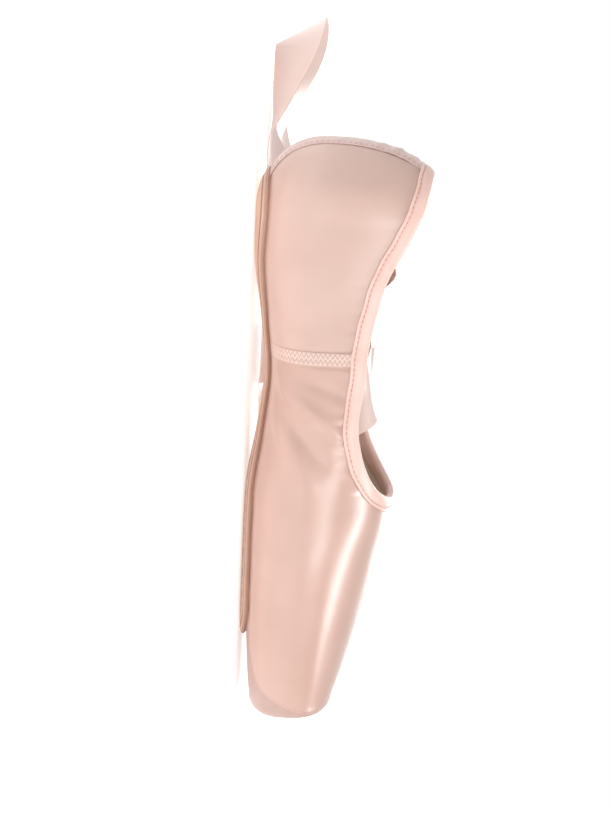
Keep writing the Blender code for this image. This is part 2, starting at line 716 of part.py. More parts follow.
def smooth_route(stops, step):
    """(point, side) along a smooth curve through a ribbon's stops, about one step apart."""
    points = [Vector(stop[:3]) for stop in stops]
    sides = [Vector(stop[3:]).normalized() for stop in stops]
    marks = [0.0]
    for before, after in zip(points, points[1:]):
        marks.append(marks[-1] + (after - before).length)

    def slope(values, i):
        low, high = max(0, i - 1), min(len(values) - 1, i + 1)
        return (values[high] - values[low]) / (marks[high] - marks[low])

    made = []
    for i in range(len(points) - 1):
        long = marks[i + 1] - marks[i]
        count = max(1, round(long / step))
        for part in range(count + (i == len(points) - 2)):
            share = part / count
            weights = (
                (1 + 2 * share) * (1 - share) ** 2,
                long * share * (1 - share) ** 2,
                share**2 * (3 - 2 * share),
                -long * share**2 * (1 - share),
            )
            row = []
            for values in (points, sides):
                terms = (values[i], slope(values, i), values[i + 1], slope(values, i + 1))
                row.append(sum((term * weight for term, weight in zip(terms, weights)), Vector((0, 0, 0))))
            made.append(tuple(row))
    return made


def ribbon_rings(stops, step):
    """The four corners of a ribbon's section at each place of its route, resting on the floor where low."""
    route = smooth_route(stops, step)
    rings = []
    for i, (point, side) in enumerate(route):
        onward = (route[min(i + 1, len(route) - 1)][0] - route[max(i - 1, 0)][0]).normalized()
        side = (side - onward * side.dot(onward)).normalized() * RIBBON_WIDTH / 2
        over = onward.cross(side).normalized() * RIBBON_THICKNESS / 2
        lowest = abs(side.z) + abs(over.z) + RIBBON_OFF_FLOOR
        centre = Vector((point.x, point.y, max(point.z, lowest)))
        rings.append([centre + side + over, centre - side + over, centre - side - over, centre + side - over])
    return rings


def make_ribbon(name, stops):
    made = bmesh.new()
    rings = [[made.verts.new(corner) for corner in ring] for ring in ribbon_rings(stops, RIBBON_STEP)]
    for first, second in zip(rings, rings[1:]):
        for j in range(4):
            k = (j + 1) % 4
            made.faces.new([first[j], second[j], second[k], first[k]])
    made.faces.new(rings[0])
    made.faces.new(rings[-1])
    return finished(name, made, (0.85, 0.69, 0.65), 0.3)


def clear_scene():
    for item in list(bpy.data.objects):
        bpy.data.objects.remove(item, do_unlink=True)


clear_scene()
make_upper()
make_topline_binding()
make_heel_strip()
make_outsole()
make_insole()
make_ribbon("ribbon_right", RIBBON_RIGHT)
make_ribbon("ribbon_left", RIBBON_LEFT)
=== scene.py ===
# %% [markdown]
# # A satin pointe shoe
#
# A ballet dancer's pointe shoe, empty, unbent and standing on its sole, with its two ankle ribbons lying
# loose beside it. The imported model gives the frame: +Y runs from the heel to the toe, +Z is up and the
# origin is on the floor, all in metres. This lesson dresses that frame: it makes the camera and the
# ribbons first, then the satin upper, the taped topline, the heel strip, the sole and the lining, and
# last the floor and the light.

import math
from collections import namedtuple
from functools import lru_cache

import bpy
import numpy as np
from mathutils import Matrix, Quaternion, Vector


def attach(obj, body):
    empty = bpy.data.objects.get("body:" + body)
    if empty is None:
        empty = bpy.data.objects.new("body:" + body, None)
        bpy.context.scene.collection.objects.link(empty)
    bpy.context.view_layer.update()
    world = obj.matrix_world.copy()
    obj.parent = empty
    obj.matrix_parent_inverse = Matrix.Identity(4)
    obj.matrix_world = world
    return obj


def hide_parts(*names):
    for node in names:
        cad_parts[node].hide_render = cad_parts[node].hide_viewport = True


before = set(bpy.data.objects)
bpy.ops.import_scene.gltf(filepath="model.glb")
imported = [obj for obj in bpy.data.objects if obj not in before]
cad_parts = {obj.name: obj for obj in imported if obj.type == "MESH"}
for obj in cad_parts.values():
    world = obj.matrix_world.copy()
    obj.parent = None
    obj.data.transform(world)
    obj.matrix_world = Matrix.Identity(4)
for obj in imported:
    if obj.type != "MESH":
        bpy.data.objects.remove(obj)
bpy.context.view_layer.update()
MM = 0.001

# %% [markdown]
# ## The camera
#
# The photograph looks at the outer side of a shoe whose toe points down. Seen on an unbent shoe that
# stands on its sole, that is a camera beside the shoe, a little towards its heel and close to the floor,
# turned a quarter so that the toe points down in the picture. A long lens keeps the sides of the box
# nearly parallel, as in the photograph.


# %% Place the camera
LENS, SENSOR_WIDTH = 100.0, 36.0
AZIMUTH, ELEVATION = 76.0, 2.0
AIM = Vector((0.0, -0.008, 0.023))
DISTANCE = 0.93
ROLL = 93.0

azimuth, elevation = math.radians(AZIMUTH), math.radians(ELEVATION)
back = Vector(
    (
        math.sin(azimuth) * math.cos(elevation),
        -math.cos(azimuth) * math.cos(elevation),
        math.sin(elevation),
    )
)
bpy.ops.object.camera_add(location=AIM + back * DISTANCE)
camera = bpy.context.object
camera.name = "camera"
camera.data.lens = LENS
camera.data.sensor_width = SENSOR_WIDTH
camera.data.clip_start = 0.05
camera.rotation_mode = "QUATERNION"
pose = (-back).to_track_quat("-Z", "Y")
pose.rotate(Quaternion(-back, -math.radians(ROLL)))
camera.rotation_quaternion = pose
bpy.context.scene.camera = camera
print("field of view", round(DISTANCE * SENSOR_WIDTH / LENS * 1000), "mm along the picture's long side")

# %% [markdown]
# ## The ribbons
#
# Two satin ribbons 25 mm wide hold the shoe to the ankle. Each is sewn inside a quarter, comes up over
# the topline and is wound round the leg. Off the foot they lie where they fall, uncoiled. A ribbon could
# be draped by simulation, but a strip this narrow is quicker and steadier as a grid that follows a given
# route: the route is the one of the frame's solid, with a smooth curve through its stops and the
# direction of the ribbon's left edge at each stop. On the floor it leans a little in its bends, as satin
# does when it turns on its edge.

# %% The ribbons' sizes and routes
RIBBON_WIDTH = 25 * MM
RIBBON_COLUMNS = 12
RIBBON_THICKNESS = 0.35 * MM
RIBBON_LIFT = 0.1 * MM
# Keeps the turn of a ribbon from its edge to its flat side soft, where it rests on the floor
REST_SOFTNESS = 0.006
Stop = namedtuple("Stop", "x y z side_x side_y side_z")
RIBBON_RIGHT = (
    Stop(0.0298, -0.0105, 0.0310, 0.00, -0.87, -0.48),
    Stop(0.0291, -0.0133, 0.0360, 0.00, -0.87, -0.48),
    Stop(0.0280, -0.0158, 0.0405, 0.00, -0.87, -0.48),
    Stop(0.0263, -0.0180, 0.0445, 0.02, -0.87, -0.45),
    Stop(0.0240, -0.0200, 0.0476, 0.18, -0.87, -0.38),
    Stop(0.0206, -0.0222, 0.0493, 0.40, -0.87, -0.20),
    Stop(0.0120, -0.0268, 0.0487, 0.47, -0.87, 0.00),
    Stop(0.0000, -0.0333, 0.0479, 0.47, -0.87, 0.05),
    Stop(-0.0120, -0.0400, 0.0490, 0.47, -0.87, 0.08),
    Stop(-0.0215, -0.0452, 0.0519, 0.46, -0.87, 0.12),
    Stop(-0.0270, -0.0484, 0.0535, 0.40, -0.87, 0.25),
    Stop(-0.0312, -0.0510, 0.0520, 0.22, -0.87, 0.40),
    Stop(-0.0335, -0.0530, 0.0480, 0.08, -0.88, 0.45),
    Stop(-0.0342, -0.0560, 0.0400, 0.04, -0.92, 0.36),
    Stop(-0.0347, -0.0590, 0.0290, 0.02, -0.95, 0.28),
    Stop(-0.0358, -0.0617, 0.0180, 0.00, -0.97, 0.22),
    Stop(-0.0385, -0.0640, 0.0080, 0.00, -0.98, 0.15),
    Stop(-0.0445, -0.0660, 0.0018, 0.15, -0.98, 0.00),
    Stop(-0.0595, -0.0720, 0.0000, 0.50, -0.80, -0.20),
    Stop(-0.0680, -0.0890, 0.0000, 0.85, -0.15, -0.50),
    Stop(-0.0700, -0.1090, 0.0000, 0.97, 0.00, -0.10),
    Stop(-0.0705, -0.1300, 0.0000, 0.85, -0.10, 0.45),
    Stop(-0.0800, -0.1490, 0.0000, 0.40, -0.40, 0.85),
    Stop(-0.0980, -0.1530, 0.0000, -0.05, -0.50, 0.87),
    Stop(-0.1105, -0.1400, 0.0000, -0.50, -0.20, 0.80),
    Stop(-0.1115, -0.1180, 0.0000, -0.90, 0.00, 0.30),
    Stop(-0.1070, -0.0960, 0.0000, -0.97, 0.10, -0.15),
    Stop(-0.1090, -0.0740, 0.0000, -0.75, 0.00, -0.60),
    Stop(-0.1205, -0.0585, 0.0000, -0.35, -0.45, -0.85),
    Stop(-0.1375, -0.0585, 0.0000, 0.20, -0.50, -0.85),
    Stop(-0.1475, -0.0730, 0.0000, 0.70, -0.10, -0.60),
    Stop(-0.1490, -0.0960, 0.0000, 1.00, 0.00, -0.15),
    Stop(-0.1465, -0.1190, 0.0000, 1.00, 0.10, 0.00),
)
RIBBON_LEFT = (
    Stop(-0.0298, -0.0200, 0.0235, 0.10, -1.00, 0.07),
    Stop(-0.0303, -0.0200, 0.0300, 0.10, -1.00, 0.07),
    Stop(-0.0299, -0.0200, 0.0355, 0.10, -1.00, 0.07),
    Stop(-0.0281, -0.0200, 0.0405, 0.10, -1.00, 0.07),
    Stop(-0.0271, -0.0200, 0.0445, 0.10, -1.00, 0.07),
    Stop(-0.0274, -0.0200, 0.0480, 0.10, -1.00, 0.07),
    Stop(-0.0302, -0.0200, 0.0497, 0.10, -1.00, 0.07),
    Stop(-0.0330, -0.0200, 0.0480, 0.10, -1.00, 0.07),
    Stop(-0.0345, -0.0200, 0.0442, 0.10, -1.00, 0.07),
    Stop(-0.0353, -0.0200, 0.0380, 0.10, -1.00, 0.05),
    Stop(-0.0358, -0.0200, 0.0280, 0.08, -1.00, 0.03),
    Stop(-0.0366, -0.0200, 0.0175, 0.05, -1.00, 0.00),
    Stop(-0.0392, -0.0200, 0.0075, 0.00, -1.00, 0.00),
    Stop(-0.0455, -0.0190, 0.0018, -0.10, -1.00, 0.00),
    Stop(-0.0610, -0.0130, 0.0000, -0.45, -0.85, 0.20),
    Stop(-0.0725, 0.0030, 0.0000, -0.75, -0.35, 0.50),
    Stop(-0.0760, 0.0240, 0.0000, -0.92, 0.00, 0.30),
    Stop(-0.0750, 0.0470, 0.0000, -0.98, 0.00, -0.10),
    Stop(-0.0765, 0.0690, 0.0000, -0.90, 0.00, -0.45),
    Stop(-0.0870, 0.0880, 0.0000, -0.45, -0.40, -0.80),
    Stop(-0.1040, 0.0910, 0.0000, 0.00, -0.50, -0.87),
    Stop(-0.1155, 0.0780, 0.0000, 0.50, -0.30, -0.80),
    Stop(-0.1170, 0.0560, 0.0000, 0.92, 0.00, -0.35),
    Stop(-0.1135, 0.0340, 0.0000, 0.97, 0.00, 0.15),
    Stop(-0.1145, 0.0130, 0.0000, 0.75, 0.00, 0.60),
    Stop(-0.1255, -0.0025, 0.0000, 0.35, -0.45, 0.85),
    Stop(-0.1430, -0.0020, 0.0000, -0.25, -0.50, 0.85),
    Stop(-0.1525, 0.0140, 0.0000, -0.70, -0.10, 0.65),
    Stop(-0.1530, 0.0370, 0.0000, -0.95, 0.00, 0.25),
    Stop(-0.1490, 0.0600, 0.0000, -1.00, 0.00, 0.00),
    Stop(-0.1475, 0.0830, 0.0000, -1.00, 0.00, 0.00),
    Stop(-0.1505, 0.1040, 0.0000, -1.00, -0.10, 0.00),
)


# %% A smooth route through the stops
def smooth_route(stops, step):
    """(point, side) along a smooth curve through a ribbon's stops, about one step apart."""
    points = [Vector(stop[:3]) for stop in stops]
    sides = [Vector(stop[3:]).normalized() for stop in stops]
    marks = [0.0]
    for before, after in zip(points, points[1:]):
        marks.append(marks[-1] + (after - before).length)

    def slope(values, i):
        low, high = max(0, i - 1), min(len(values) - 1, i + 1)
        return (values[high] - values[low]) / (marks[high] - marks[low])

    made = []
    for i in range(len(points) - 1):
        long = marks[i + 1] - marks[i]
        count = max(1, round(long / step))
        for part in range(count + (i == len(points) - 2)):
            share = part / count
            weights = (
                (1 + 2 * share) * (1 - share) ** 2,
                long * share * (1 - share) ** 2,
                share**2 * (3 - 2 * share),
                -long * share**2 * (1 - share),
            )
            row = []
            for values in (points, sides):
                terms = (values[i], slope(values, i), values[i + 1], slope(values, i + 1))
                row.append(sum((term * weight for term, weight in zip(terms, weights)), Vector((0, 0, 0))))
            made.append(tuple(row))
    return made


def measured(points):
    return sum((after - before).length for before, after in zip(points, points[1:]))


# %% Grids that become cloth
def cloth_grid(name, rows):
    """A grid primitive whose points are moved to these rows of points."""
    down, across = len(rows), len(rows[0])
    bpy.ops.object.select_all(action="DESELECT")
    bpy.ops.mesh.primitive_grid_add(x_subdivisions=across - 1, y_subdivisions=down - 1, size=2)
    piece = bpy.context.object
    piece.name = piece.data.name = name
    flat = np.array([tuple(point) for row in rows for point in row], dtype=np.float32)
    if len(piece.data.vertices) != len(flat):
        raise ValueError(f"{name}: {len(piece.data.vertices)} points for {len(flat)}")
    piece.data.vertices.foreach_set("co", flat.ravel())
    piece.data.update()
    return piece


def carry(piece, name, values):
    """Keeps one number per point of the grid, for a material to read."""
    made = piece.data.attributes.new(name, "FLOAT", "POINT")
    made.data.foreach_set("value", np.array(values, dtype=np.float32).ravel())


def lay_uv(piece, across, along):
    """A UV map in metres from two numbers per point."""
    layer = piece.data.uv_layers[0] if piece.data.uv_layers else piece.data.uv_layers.new(name="cloth")
    layer.name = "cloth"
    corners = np.empty(len(piece.data.loops), dtype=np.int32)
    piece.data.loops.foreach_get("vertex_index", corners)
    flat = np.stack([np.array(across).ravel()[corners], np.array(along).ravel()[corners]], axis=1)
    layer.data.foreach_set("uv", flat.astype(np.float32).ravel())


def pick(piece):
    """Selects this piece alone and makes it the active one."""
    bpy.ops.object.select_all(action="DESELECT")
    piece.select_set(True)
    bpy.context.view_layer.objects.active = piece


def thicken(piece, thickness, offset, inner=0):
    """Gives a sheet its thickness with a Solidify modifier and applies it."""
    pick(piece)
    wall = piece.modifiers.new("wall", "SOLIDIFY")
    wall.thickness = thickness
    wall.offset = offset
    wall.use_even_offset = True
    wall.material_offset = inner
    bpy.ops.object.modifier_apply(modifier="wall")
    bpy.ops.object.shade_smooth_by_angle(angle=math.radians(50))
    print(piece.name, len(piece.data.polygons), "faces")


# %% Make both ribbons
def ribbon_rows(stops, step, columns, seed):
    """Rows of points across a ribbon that rests on the floor where low, with a soft wave along its edges."""
    route = smooth_route(stops, step)
    centres, rows = [], []
    for i, (point, side) in enumerate(route):
        onward = (route[min(i + 1, len(route) - 1)][0] - route[max(i - 1, 0)][0]).normalized()
        side = (side - onward * side.dot(onward)).normalized()
        over = onward.cross(side).normalized()
        half = RIBBON_WIDTH / 2
        lowest = math.sqrt(side.z**2 + REST_SOFTNESS) * half
        lowest += abs(over.z) * RIBBON_THICKNESS / 2 + RIBBON_LIFT
        centre = Vector((point.x, point.y, max(point.z, lowest)))
        centres.append(centre)
        row = []
        for column in range(columns + 1):
            share = 2 * column / columns - 1
            wave = 0.00012 * math.sin(0.5 * i + seed) * share**2 * min(1, i / 6)
            dish = 0.0006 * (1 - share**2) * math.sin(0.11 * i + seed) * min(1, i / 12)
            row.append(centre + side * half * share + over * (wave + dish))
        rows.append(row)
    return centres, rows


ribbons = {}
for name, stops, seed in (("ribbon_right", RIBBON_RIGHT, 0.3), ("ribbon_left", RIBBON_LEFT, 2.1)):
    centres, rows = ribbon_rows(stops, 2.2 * MM, RIBBON_COLUMNS, seed)
    for row in rows:
        for point in row:
            point.z = max(point.z, RIBBON_THICKNESS / 2 + RIBBON_LIFT)
    piece = cloth_grid(name + "_satin", rows)
    run = np.cumsum([0] + [(b - a).length for a, b in zip(centres, centres[1:])])
    one_row = [(2 * j / RIBBON_COLUMNS - 1) * RIBBON_WIDTH / 2 for j in range(RIBBON_COLUMNS + 1)]
    across = [one_row for _ in rows]
    along = [[run[i]] * (RIBBON_COLUMNS + 1) for i in range(len(rows))]
    lay_uv(piece, across, along)
    carry(piece, "across_mm", np.array(across) * 1000)
    thicken(piece, RIBBON_THICKNESS, 0.0)
    ribbons[name] = (piece, centres)
    print(name, "is", round(measured(centres), 3), "m long,", len(centres), "rows")
for name, (piece, centres) in ribbons.items():
    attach(piece, "root")
    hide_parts(name)

# %% [markdown]
# ## The last
#
# A shoemaker pulls the satin over a last, a solid form of the foot. Every layer here is measured from
# that form too, so the last comes first, with the same sizes as the frame. A walk along the foot picks a
# section of the last and a girth picks a place on it, from 0 under the sole to 1 at the crown. The
# sections could be lofted by hand from curves, but a few shares of the length in a table keep the shape
# easy to read and to change.

# %% The shoe's sizes, in metres
# Driving sizes
LENGTH = 0.240
BALL_WIDTH = 0.080
HEEL_WIDTH = 0.058
INSTEP_HEIGHT = 0.0605
HEEL_HEIGHT = 0.070
ARCH_LIFT = 0.006
TOE_SPRING = 0.0025
VAMP_LENGTH = 0.093
THROAT_LENGTH = 0.046
EDGE_RADIUS = 0.0055
PLATFORM_DOME = 0.0006

# Walls and layers
GAP = 0.0003
SOLE_GAP = 0.0004
QUARTER_WALL = 0.0015
SOLE_THICKNESS = 0.0024
SOLE_EDGE_THICKNESS = 0.0013
GROUND_OFF = 0.0002
STRIP_THICKNESS = 0.0007
STRIP_WIDTH = 0.018
SEAM_WIDTH = 0.005
SEAM_RISE = 0.0003

# The outsole and the insole
SOLE_WIDTH = 0.051
SOLE_HEEL_INSET = 0.013
SOLE_TOE_INSET = 0.030
INSOLE_SHARE = 0.74
INSOLE_TOE_CLEARANCE = 0.003


# %% The last's tables, as shares of the sizes
# Shares of the length: the fan's axis and the side seam
FAN_AT = 0.125
SEAM_AT = 0.35

# The last's sections. along is a share of the length, width of the ball's width. The crown, where the
# closed last would end, is instep times the instep height plus heel times the heel height. widest is a
# share of the section's height, and low and high say how square the section is below and above that.
Section = namedtuple("Section", "along width instep heel widest low high")
SECTIONS = (
    Section(0.000, 0.725, 0.00, 1.12, 0.37, 2.4, 2.1),
    Section(0.125, 0.725, 0.00, 1.22, 0.32, 2.6, 2.2),
    Section(0.220, 0.735, 0.15, 1.04, 0.32, 2.6, 2.2),
    Section(0.330, 0.775, 0.45, 0.72, 0.33, 2.6, 2.2),
    Section(0.420, 0.820, 0.75, 0.40, 0.34, 2.7, 2.2),
    Section(0.500, 0.880, 0.94, 0.15, 0.35, 2.8, 2.2),
    Section(0.610, 0.960, 1.00, 0.00, 0.36, 3.0, 2.2),
    Section(0.700, 1.000, 0.93, 0.00, 0.38, 3.1, 2.2),
    Section(0.800, 0.955, 0.84, 0.00, 0.40, 3.1, 2.3),
    Section(0.900, 0.840, 0.74, 0.00, 0.43, 3.0, 2.5),
    Section(0.980, 0.715, 0.65, 0.00, 0.46, 2.9, 2.7),
)

# How far the underside stands off the floor, as shares of the arch's lift and of the toe's spring
Profile = namedtuple("Profile", "along arch spring")
PROFILES = (
    Profile(0.00, 0.00, 0.00),
    Profile(0.18, 0.00, 0.00),
    Profile(0.30, 0.62, 0.00),
    Profile(0.40, 1.00, 0.00),
    Profile(0.50, 0.60, 0.00),
    Profile(0.60, 0.04, 0.00),
    Profile(0.65, 0.00, 0.00),
    Profile(0.84, 0.00, 0.00),
    Profile(0.92, 0.00, 0.35),
    Profile(1.00, 0.00, 1.00),
)

# The topline at the side, as a share of the section's height. At the back it is the heel's height.
Topline = namedtuple("Topline", "along height")
TOPLINES = (
    Topline(0.000, 0.890),
    Topline(0.125, 0.745),
    Topline(0.250, 0.615),
    Topline(0.350, 0.570),
    Topline(0.450, 0.580),
    Topline(0.610, 0.640),
)

# The outsole's width, as a share of its widest, with a heel seat and a narrow waist
SoleWidth = namedtuple("SoleWidth", "along width")
SOLE_WIDTHS = (
    SoleWidth(0.125, 0.72),
    SoleWidth(0.220, 0.62),
    SoleWidth(0.330, 0.42),
    SoleWidth(0.420, 0.42),
    SoleWidth(0.520, 0.66),
    SoleWidth(0.620, 0.93),
    SoleWidth(0.700, 1.00),
    SoleWidth(0.800, 0.97),
    SoleWidth(0.880, 0.88),
)

# Worked out from the sizes
BODY = LENGTH - GAP - STRIP_THICKNESS
START = GAP + STRIP_THICKNESS - LENGTH / 2
FAN_AXIS = FAN_AT * BODY
EDGE_START = BODY - EDGE_RADIUS - PLATFORM_DOME
EDGE_WALK = EDGE_RADIUS * math.pi / 2
FACE_WALK = 0.02
BACK = FAN_AXIS - FAN_AXIS * math.pi / 2
CENTRE = EDGE_START + EDGE_WALK + FACE_WALK
THROAT = BODY - VAMP_LENGTH
FLOOR_TO_UPPER = SOLE_THICKNESS - GROUND_OFF + SOLE_GAP
SOLE_TOE = BODY - SOLE_TOE_INSET
SOLE_ROUND = 0.021
HEEL_SQUARE = 2.2
RIB_STEPS = 96
SMALL_WALK = 0.0004
SMALL_GIRTH = 0.004
ON_PLANE = 0.00002
NEARLY_CLOSED = 0.0001
Rib = namedtuple("Rib", "half base crown widest low high out up girth angles turn centre forward")


# %% Reading the last
def smooth(share):
    share = min(1.0, max(0.0, share))
    return share * share * (3 - 2 * share)


def quarter_round(share, square=2.0):
    """0 to 1 along a quarter of a rounded corner, steep at first."""
    share = min(1.0, max(0.0, share))
    return (1 - (1 - share) ** square) ** (1 / square)


def read(table, name, along):
    """A column of a table at this share of the length, on a smooth curve that stays between its rows."""
    rows = [(row.along, getattr(row, name)) for row in table]
    if along <= rows[0][0]:
        return rows[0][1]
    if along >= rows[-1][0]:
        return rows[-1][1]
    steps = [b[0] - a[0] for a, b in zip(rows, rows[1:])]
    rises = [(b[1] - a[1]) / step for a, b, step in zip(rows, rows[1:], steps)]
    slopes = [rises[0]]
    for before, after in zip(rises, rises[1:]):
        both = before * after
        slopes.append(2 * both / (before + after) if both > 0 else 0.0)
    slopes.append(rises[-1])
    place = max(i for i, row in enumerate(rows[:-1]) if row[0] <= along)
    step = steps[place]
    share = (along - rows[place][0]) / step
    low, high = rows[place][1], rows[place + 1][1]
    return (
        low * (1 + 2 * share) * (1 - share) ** 2
        + high * share**2 * (3 - 2 * share)
        + step * slopes[place] * share * (1 - share) ** 2
        - step * slopes[place + 1] * share**2 * (1 - share)
    )


def fan_turn(walk):
    """The angle of a section that fans round the heel: 0 straight ahead of it, a right angle at the back."""
    return max(0.0, (FAN_AXIS - walk) / FAN_AXIS)


def along_of(walk):
    if walk < FAN_AXIS:
        return FAN_AT * (1 - math.sin(min(fan_turn(walk), math.pi - fan_turn(walk))))
    return min(walk, EDGE_START) / BODY


def heel_reach(turn, side, back):
    """How far a rounded heel reaches from the fan's axis at this turn."""
    across = (abs(math.cos(turn)) / side) ** HEEL_SQUARE
    behind = (abs(math.sin(turn)) / back) ** HEEL_SQUARE
    return (across + behind) ** (-1 / HEEL_SQUARE)


@lru_cache(maxsize=None)
def rib(walk):
    """Half a section of the last, from under the sole to the crown, with its girth measured along it."""
    along = along_of(walk)
    turn = fan_turn(walk)
    half = read(SECTIONS, "width", along) * BALL_WIDTH / 2
    if turn > 0:
        half = heel_reach(turn, HEEL_WIDTH / 2, FAN_AXIS)
    else:
        heel_share = read(SECTIONS, "width", FAN_AT) * BALL_WIDTH / HEEL_WIDTH
        half *= 1 + (1 / heel_share - 1) * (1 - smooth((along - FAN_AT) / (SEAM_AT - FAN_AT)))
    base = FLOOR_TO_UPPER + ARCH_LIFT * read(PROFILES, "arch", along)
    base += TOE_SPRING * read(PROFILES, "spring", along)
    crown = INSTEP_HEIGHT * read(SECTIONS, "instep", along) + HEEL_HEIGHT * read(SECTIONS, "heel", along)
    forward = 0.0
    scale = 1.0
    if walk > EDGE_START:
        edge = min(math.pi / 2, (walk - EDGE_START) / EDGE_RADIUS)
        inset = EDGE_RADIUS * (1 - math.cos(edge))
        forward = EDGE_RADIUS * math.sin(edge)
        half -= inset
        base += inset
        crown -= inset
    if walk > EDGE_START + EDGE_WALK:
        scale = max(NEARLY_CLOSED, 1 - (walk - EDGE_START - EDGE_WALK) / FACE_WALK)
        forward += PLATFORM_DOME * (1 - scale**2)
    widest = base + (crown - base) * read(SECTIONS, "widest", along)
    low = read(SECTIONS, "low", along)
    high = read(SECTIONS, "high", along)
    middle = (base + crown) / 2
    angles, out, up = [], [], []
    for step in range(RIB_STEPS + 1):
        angle = math.pi * (step / RIB_STEPS - 0.5)
        level, slope = max(0.0, math.cos(angle)), abs(math.sin(angle))
        square = low if angle < 0 else high
        rise = (crown - widest) * slope ** (2 / high) if angle > 0 else (base - widest) * slope ** (2 / low)
        angles.append(angle)
        out.append(scale * half * level ** (2 / square) if 0 < step < RIB_STEPS else 0.0)
        up.append(middle + scale * (widest + rise - middle))
    girth = [0.0]
    for step in range(RIB_STEPS):
        girth.append(girth[-1] + math.hypot(out[step + 1] - out[step], up[step + 1] - up[step]))
    centre = FAN_AXIS if turn > 0 else min(walk, EDGE_START)
    return Rib(half, base, crown, widest, low, high, out, up, girth, angles, turn, centre, forward)


def between(marks, values, mark):
    """The value that goes with this mark, on straight lines through the listed ones."""
    low, high = 0, len(marks) - 1
    while high - low > 1:
        middle = (low + high) // 2
        if marks[middle] <= mark:
            low = middle
        else:
            high = middle
    span = marks[high] - marks[low]
    share = (mark - marks[low]) / span if span > 0 else 0.0
    return values[low] + (values[high] - values[low]) * share


# %% Places on the last
def on_last(walk, girth):
    """The last's surface on the +X side. Its girth goes from 0 under the sole to 1 at the crown."""
    side = 1
    if girth > 1:
        girth, side = 2 - girth, -1
    if girth < 0:
        girth, side = -girth, -1
    here = rib(walk)
    reached = girth * here.girth[-1]
    out = between(here.girth, here.out, reached)
    up = between(here.girth, here.up, reached)
    ahead = here.centre + here.forward - out * math.sin(here.turn)
    return Vector((side * out * math.cos(here.turn), START + ahead, up))


def slopes_at(walk, girth):
    """How the surface moves along the walk and along the girth, and which way it faces."""
    onward = (on_last(walk + SMALL_WALK, girth) - on_last(walk - SMALL_WALK, girth)) / (2 * SMALL_WALK)
    upward = (on_last(walk, girth + SMALL_GIRTH) - on_last(walk, girth - SMALL_GIRTH)) / (2 * SMALL_GIRTH)
    facing = onward.cross(upward)
    if facing.length < ON_PLANE**2:
        facing = Vector((0, 1, 0))
    return onward, upward, facing.normalized()


def girth_at_angle(walk, angle):
    here = rib(walk)
    return between(here.angles, here.girth, angle) / here.girth[-1]


def girth_under(walk, out):
    """The girth at which the underside is this far out from its centre line."""
    here = rib(walk)
    share = min(1.0, max(0.0, out) / here.half)
    return girth_at_angle(walk, -math.acos(share ** (here.low / 2)))


def top_girth(walk):
    """Where the upper ends at the topline. It is closed in front of the throat."""
    if walk >= THROAT:
        return 1.0
    here = rib(walk)
    height = here.base + (here.crown - here.base) * read(TOPLINES, "height", along_of(walk))
    share = (height - here.widest) / (here.crown - here.widest)
    side = math.asin(min(1.0, share) ** (here.high / 2))
    open_by = (math.pi / 2 - side) * quarter_round((THROAT - walk) / THROAT_LENGTH, 2.1)
    return girth_at_angle(walk, math.pi / 2 - open_by)


def sole_reach(walk):
    """The outsole's half width, or how far it reaches from the fan's axis round the heel."""
    side = SOLE_WIDTH / 2 * read(SOLE_WIDTHS, "width", max(FAN_AT, along_of(walk)))
    if walk < FAN_AXIS:
        return heel_reach(fan_turn(walk), side, FAN_AXIS - SOLE_HEEL_INSET)
    return side * quarter_round((SOLE_TOE - walk) / SOLE_ROUND, 2.3)


def underside(walk, out):
    def at(walk, out):
        here = rib(walk)
        share = min(1.0, abs(out) / here.half)
        up = here.widest - (here.widest - here.base) * (1 - share**here.low) ** (1 / here.low)
        ahead = here.centre - abs(out) * math.sin(here.turn)
        return Vector((out * math.cos(here.turn), START + ahead, up))

    onward = at(walk + SMALL_WALK, out) - at(walk - SMALL_WALK, out)
    outward = at(walk, out + SMALL_WALK) - at(walk, out - SMALL_WALK)
    if walk <= FAN_AXIS and out < ON_PLANE:
        onward = at(FAN_AXIS + SMALL_WALK, 0) - at(FAN_AXIS, 0)
    return at(walk, out), onward.cross(outward).normalized()


def under_last(walk, out, depth):
    """A point on the underside, this far out from the centre line and this deep inside the last."""
    if out < ON_PLANE:
        walk = max(walk, FAN_AXIS)
    point, facing = underside(walk, out)
    return point - facing * depth


print("the last is", round(LENGTH * 1000), "mm long and", round(BALL_WIDTH * 1000), "mm wide")

# %% [markdown]
# ## The satin upper
#
# The upper is one skin of satin: the vamp over the toe box, the wings beside it and the quarters round the
# heel, cut apart at the side seams. Modelling it as one sheet keeps the highlights running across the
# seams as they do on the real shoe. A box could be subdivided and pulled into shape, but a satin
# highlight shows every bump, so this sheet is a grid laid on the last, close together where it turns.
# Soft creases are then pressed into it one by one: the arch of a worn shoe keeps a few shallow folds, and
# the satin puckers a little where the tape is sewn on.

# %% Creases and puckers, in metres
Crease = namedtuple("Crease", "y_from z_from y_to z_to width depth")
SEAM_Y = SEAM_AT * BODY + START
